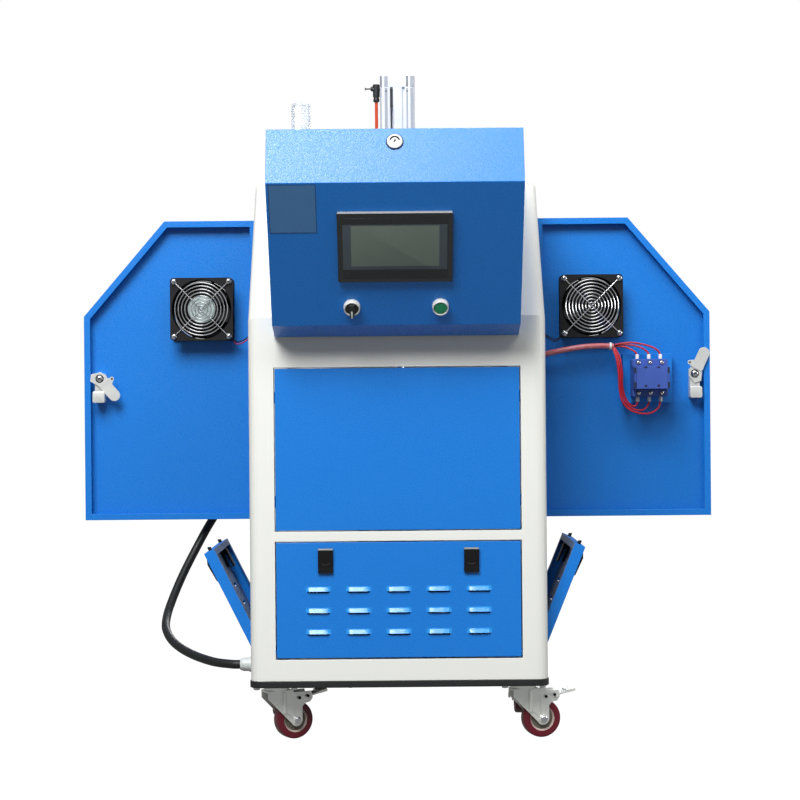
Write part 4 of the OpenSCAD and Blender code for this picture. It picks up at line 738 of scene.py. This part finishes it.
glass = slab(glass_width, glass_height, 0.0007, 0.0012, Matrix(), edge=0.0002)
grid = glass.loops.layers.uv.new("glass")
for face in glass.faces:
    for loop in face.loops:
        loop[grid].uv = (loop.vert.co.x / glass_width + 0.5, loop.vert.co.y / glass_height + 0.5)
bmesh.ops.transform(glass, matrix=panel_place @ Matrix.Translation((0, 0, 0.0062)), verts=glass.verts)
add_piece("panel_glass", glass, display_finish(), "hood", ["hmi_screen"])


# Controls: a black selector with a pale pointer and a green push button, both in tall satin rings.
# A cam lock sits in the brow; a dark ring round it and a dark crescent on its face are painted shade. Each is
# held by a nut behind the sheet.
control_x, control_down = 75, 235.19
rim = [(0.0116, 0.0010), (0.0116, 0.0102), (0.0121, 0.0110), (0.0130, 0.0110), (0.0136, 0.0104),
       (0.0143, 0.0014), (0.0143, 0.00005), (0.0110, 0.00005), (0.0110, -0.0260), (0.0082, -0.0260),
       (0.0082, 0.0010), (0.0116, 0.0010)]
barrel = [(0.00605, 0.0040), (0.0112, 0.0041), (0.0126, 0.0033), (0.0130, 0.0020), (0.0130, 0.00005),
          (0.0095, 0.00005), (0.0095, -0.0200), (0.00605, -0.0200), (0.00605, 0.0040)]
satin_chrome = moulded("satin_chrome", srgb(222, 221, 217), 0.5, spread=0.05, Specular_IOR_Level=0.3)
turned_rings = [lathe(rim, 64, on_face(x, control_down)) for x in (-control_x, control_x)]
add_piece("control_rings_turned", gather(turned_rings), satin_chrome, "hood", ["control_rings"])
add_piece("selector_cap", softened("selector_knob", 0.0009, 3), black_moulding, "selector",
          ["selector_knob"], weighted=True)
pointer = slab(0.0032, 0.0135, 0.0006, 0.0012, on_face(-control_x, 242.2) @ Matrix.Translation((0, 0, 0.0169)),
               edge=0.0002)
add_piece("selector_pointer", pointer, pale_moulding, "selector")
green_moulding = moulded("green_moulding", srgb(16, 152, 100), 0.3, spread=0.08)
button = lathe([(0, 0.0103), (0.006, 0.0102), (0.0095, 0.0098), (0.0108, 0.0092), (0.0112, 0.0082),
                (0.0112, 0.0054), (0.008, 0.0054), (0.008, -0.02), (0, -0.02)], 48,
               on_face(control_x, control_down))
add_piece("button_cap", button, green_moulding, "start_button", ["push_button"])
barrel_face = on_brow(0, 24.35)
add_piece("lock_barrel", lathe(barrel, 64, barrel_face), satin_chrome, "hood")
# The dark ring round the barrel and the crescent on its face are painted shade.
shade_ring = lathe([(0.0131, 0.00005), (0.0144, 0.00005), (0.0144, 0.0010), (0.0131, 0.0014), (0.0131, 0.00005)],
               64, barrel_face)
crescent = plate(arc(0, 0, 8.9, 12, 168, 24) + arc(0, 0, 6.4, 165, 15, 24), 0.0008,
                 barrel_face @ Matrix.Translation((0, 0, 0.0038)), edge=0.0001)
add_piece("lock_gasket", gather([shade_ring, crescent]), recess_shade, "hood")
plug = gather([lathe([(0, 0.0045), (0.0054, 0.0045), (0.0060, 0.0040), (0.0060, -0.0240), (0, -0.0240)], 40,
                     barrel_face),
               slab(0.012, 0.026, 0.0025, 0.002, barrel_face @ Matrix.Translation((0, 0.007, -0.0265)))])
add_piece("lock_plug_turned", plug, satin_chrome, "hood_lock", ["lock_plug"])
# The keyhole is a dark disc and slot on the plug's face: painted shade in the hole.
keyway = barrel_face @ Matrix.Rotation(math.radians(-32), 4, "Z")
keyhole = gather([rod(0.0016, 0.0004, keyway @ Matrix.Translation((0, 0.0012, 0.0047)), 24),
                  slab(0.0018, 0.0048, 0.0004, 0.0004, keyway @ Matrix.Translation((0, -0.0010, 0.00445)))])
add_piece("lock_keyhole", keyhole, recess_shade, "hood_lock")


# Beacon: a clear ribbed lens on a short base at the left of the hood, with a lamp stem inside.
# The lens screws down on the base.
def clear_finish():
    made, spot, feed = finish("clear_lens", srgb(244, 247, 247), 0.12, IOR=1.46, Transmission_Weight=0.7)
    cloud = speckle(spot, 0.006)
    feed("Roughness", 0.08 + cloud * 0.14)
    feed("Normal", spot.node("ShaderNodeBump", None, {"Strength": 0.12, "Distance": 0.0004, "Height": cloud}))
    return made


post = Matrix.Translation((-0.163, -0.106, 1.045))
ribs = [(0, 0.0121), (0.0155, 0.0121), (0.0163, 0.0126)]
for i in range(12):
    ribs += [(0.0165, 0.0136 + 0.0042 * i), (0.0165, 0.0152 + 0.0042 * i), (0.0158, 0.0162 + 0.0042 * i),
             (0.0158, 0.0168 + 0.0042 * i)]
ribs += [(0.0163, 0.0645), (0.0163, 0.0672), (0.0157, 0.0690), (0.0143, 0.0699), (0.0120, 0.0701), (0, 0.0701)]
clear_lens = clear_finish()
milky = moulded("milky", srgb(232, 236, 236), 0.35, spread=0.03)
add_piece("beacon_lens", lathe(ribs, 64, post), clear_lens, "hood", ["beacon"])
base_ring = lathe([(0, 0.00005), (0.0183, 0.00005), (0.0185, 0.0006), (0.0185, 0.0105), (0.0178, 0.0119),
                   (0, 0.0119)], 64, post)
add_piece("beacon_base", base_ring, milky, "hood")


# Press cylinder: a square anodised extrusion with slots along each side, between two end caps with sunk bolts.
# A black flow-control elbow, an orange-red air tube and a reed switch in the front slot serve it.
bright_alloy = plated("bright_alloy", srgb(226, 228, 230), 0.36, grain=0.0016, stretch=(1, 1, 0.02),
                      spread=0.04, metal=0.35)
add_piece("press_barrel", softened("press_cylinder", 0.0005), bright_alloy, "cabinet",
          ["press_cylinder"], weighted=True)
press_x, press_depth, press_front = 5, 280, 247.5
socket_head = [(0, 0.003), (0.0022, 0.003), (0.0022, 0.0055), (0.0038, 0.0055), (0.0041, 0.005),
               (0.0041, 0.0002), (0, 0.0002)]
bolts = [lathe(socket_head, 24, Matrix.Translation(((press_x + dx) / 1000,
                                                    (press_depth + dy - zero_depth) / 1000, 1.195)))
         for dx in (-23, 23) for dy in (-23, 23)]
add_piece("press_bolts", gather(bolts), steel, "cabinet")
# Grey strips along the slots and darker spots at their tops are painted shade, not cut grooves.
shade = moulded("slot_shade", srgb(160, 162, 164), 0.4, spread=0.06)
deep_shade = moulded("deep_shade", srgb(92, 94, 96), 0.45, spread=0.1)
lines = [slab(wide / 1000, 0.150, 0.0003, 0.0002, to_viewer(press_x + x, press_front, 1097))
         for x, wide in ((-31, 1), (-21, 5.5), (18.2, 3), (27.4, 6.4))]
lines += [slab(0.0065, 0.020, 0.0003, 0.0002, to_viewer(press_x + x, press_front, 1184)) for x in (-21, 27.4)]
add_piece("profile_slot_shade_lines", gather(lines), shade, "cabinet")
marks = [slab(wide / 1000, 0.020, 0.0003, 0.0002, to_viewer(press_x + x, press_front, 1184))
         for x, wide in ((-30.5, 2), (18.2, 3))]
marks += [slab(0.0034, 0.0034, 0.0005, 0.0016, to_viewer(press_x + x, press_front, 1166)) for x in (-21, 18.2)]
add_piece("profile_deep_shade_marks", gather(marks), deep_shade, "cabinet")
elbow = softened("air_fittings", 0.0005, keep=lambda p: p.x > -0.0412 or p.z < 1.15)
collar = lathe([(0.0031, 0), (0.0054, 0.0004), (0.0058, 0.0015), (0.0058, 0.0062), (0.0050, 0.0072),
                (0.0050, 0.0090), (0.0064, 0.0098), (0.0064, 0.0118), (0.0031, 0.0118), (0.0031, 0)], 32,
               Matrix.Translation((-0.0345, 0.174, 1.158)))
spindle = Matrix.Translation((-0.0345, 0.174, 1.183)) @ Matrix.Rotation(math.radians(-90), 4, "Y")
knurl = lathe([(0, 0.0060), (0.0044, 0.0060), (0.0046, 0.0066), (0.0046, 0.0098), (0.0038, 0.0106),
               (0, 0.0106)], 16, spindle)
add_piece("elbow_moulding", gather([elbow, collar, knurl]), black_moulding, "cabinet",
          ["air_fittings"], weighted=True)
thread = [(0, 0.0104)]
for i in range(8):
    thread += [(0.0011, 0.0106 + 0.0012 * i), (0.0015, 0.0112 + 0.0012 * i)]
thread += [(0.0026, 0.0203), (0.0026, 0.0216), (0, 0.0216)]
add_piece("elbow_screw", lathe(thread, 24, spindle), black_moulding, "cabinet")
orange_tube = moulded("orange_tube", srgb(206, 74, 40), 0.25, spread=0.08)
coat_solid("air_tube", orange_tube)
coat_solid("reed_switch", black_moulding)
coat_solid("ram", plated("ground_steel", srgb(190, 192, 194), 0.2, grain=0.002, stretch=(1, 1, 0.05)))


# Melting set: a heated tank on a manifold block with two hose outlets, with a gear pump and its motor.
# The electrical plate stands behind the front panel with its modules and wiring ducts.
stainless = plated("stainless", srgb(178, 178, 172), 0.32, grain=0.003, stretch=(1, 1, 0.08))
machined = plated("machined", srgb(150, 154, 157), 0.4, grain=0.0025)
enamel = powder_coat("enamel", srgb(78, 94, 108), 0.42, 0.002, 0.15)
for node, coat in (("melt_tank", stainless), ("manifold", stainless), ("gear_pump", machined),
                   ("drive_coupling", machined), ("drive_motor", enamel)):
    coat_solid(node, coat)
coat_solid("electrical_plate", moulded("module_grey", srgb(214, 214, 208), 0.45, spread=0.04))


# Castors: pressed zinc-plated forks on bolted plates, the front pair swivelling and braked.
# Each wheel is a maroon tread on a cream hub that runs on the axle bolt.
maroon_tread = moulded("maroon_tread", srgb(106, 16, 34), 0.34, grain=0.001, spread=0.14)
cream_hub = moulded("cream_hub", srgb(204, 186, 176), 0.42, spread=0.06)
hub_web = moulded("hub_web", srgb(112, 106, 94), 0.5, spread=0.12)
tread = [(0.0220, -0.0112), (0.0300, -0.0120), (0.0328, -0.0108), (0.0338, -0.0082), (0.0340, -0.0040),
         (0.0340, 0.0040), (0.0338, 0.0082), (0.0328, 0.0108), (0.0300, 0.0120), (0.0220, 0.0112),
         (0.0220, -0.0112)]
half = [(0.0042, 0.0130), (0.0100, 0.0130), (0.0109, 0.0122), (0.0110, 0.0092), (0.0130, 0.0084),
        (0.0192, 0.0084), (0.0208, 0.0104), (0.0222, 0.0112)]
hub = half + [(r, -h) for r, h in reversed(half)] + [half[0]]
upright = Matrix.Rotation(math.radians(90), 4, "X")
for name, node, x, depth, turn, trail in (
    ("front_left", "front_left_wheel", -218, 55, 26, 32),
    ("front_right", "front_right_wheel", 218, 55, 13, 32),
    ("rear_left", "rear_left_wheel", -230, 338, 90, 0),
    ("rear_right", "rear_right_wheel", 230, 338, 90, 0),
):
    stem = Matrix.Translation((x / 1000, (depth - zero_depth) / 1000, 0))
    swivel = stem @ Matrix.Rotation(math.radians(turn), 4, "Z")
    axle = swivel @ Matrix.Translation((trail / 1000, 0, 0.034)) @ upright
    add_piece(name + "_tread", lathe(tread, 64, axle), maroon_tread, node, [node])
    core = lathe(hub, 64, axle)
    middle = axle.to_translation()
    for face in core.faces:
        face.material_index = 1 if (face.calc_center_median() - middle).length < 0.0205 else 0
    add_piece(name + "_hub", core, [cream_hub, hub_web], node)
    nuts = [lathe([(0, 0.0035), (0.0048, 0.0035), (0.0062, 0.0026), (0.0062, 0), (0, 0)], 6,
                  axle @ Matrix.Rotation(math.radians(flip), 4, "X") @ Matrix.Translation((0, 0, 0.0199)))
            for flip in (0, 180)]
    body = "cabinet" if trail == 0 else name.split("_")[1] + "_castor"
    add_piece(name + "_axle_nuts", gather(nuts), steel, body)
    heads = [lathe([(0, -0.004), (0.0042, -0.004), (0.0056, -0.0032), (0.0056, 0), (0, 0)], 6,
                   Matrix.Translation(((x + (dx if trail else dy)) / 1000,
                                       (depth + (dy if trail else dx) - zero_depth) / 1000, 0.0949)))
             for dx in (-33, 33) for dy in (-24, 24)]
    add_piece(name + "_plate_bolts", gather(heads), steel, "cabinet")
add_piece("castor_plates", softened("castor_mounts", 0.0006), zinc, "cabinet", ["castor_mounts"],
          weighted=True)
for side, x, turn in (("left", -0.218, 26), ("right", 0.218, 13)):
    swivel = Matrix.Translation((x, -0.051, 0)) @ Matrix.Rotation(math.radians(turn), 4, "Z")
    ribs = [rod(0.0028, 0.036, swivel @ Matrix.Translation((0.008, flank * 0.0185, 0.0665)), 20)
            for flank in (-1, 1)]
    add_piece(side + "_fork_pressing", gather([softened(side + "_fork", 0.0005)] + ribs), zinc,
              side + "_castor", [side + "_fork"], weighted=True)
    # The fork's holes are near-black discs on its flanks: painted shade.
    holes = [rod(0.0028, 0.0004, swivel @ Matrix.Translation((along, flank * 0.0200, up)) @ upright, 24)
             for flank in (-1, 1) for along, up in ((0.0365, 0.0735), (0.0525, 0.0760))]
    add_piece(side + "_fork_holes", gather(holes), recess_shade, side + "_castor")
    add_piece(side + "_pedal_pressing", softened(side + "_pedal", 0.0006), zinc, side + "_pedal",
              [side + "_pedal"], weighted=True)
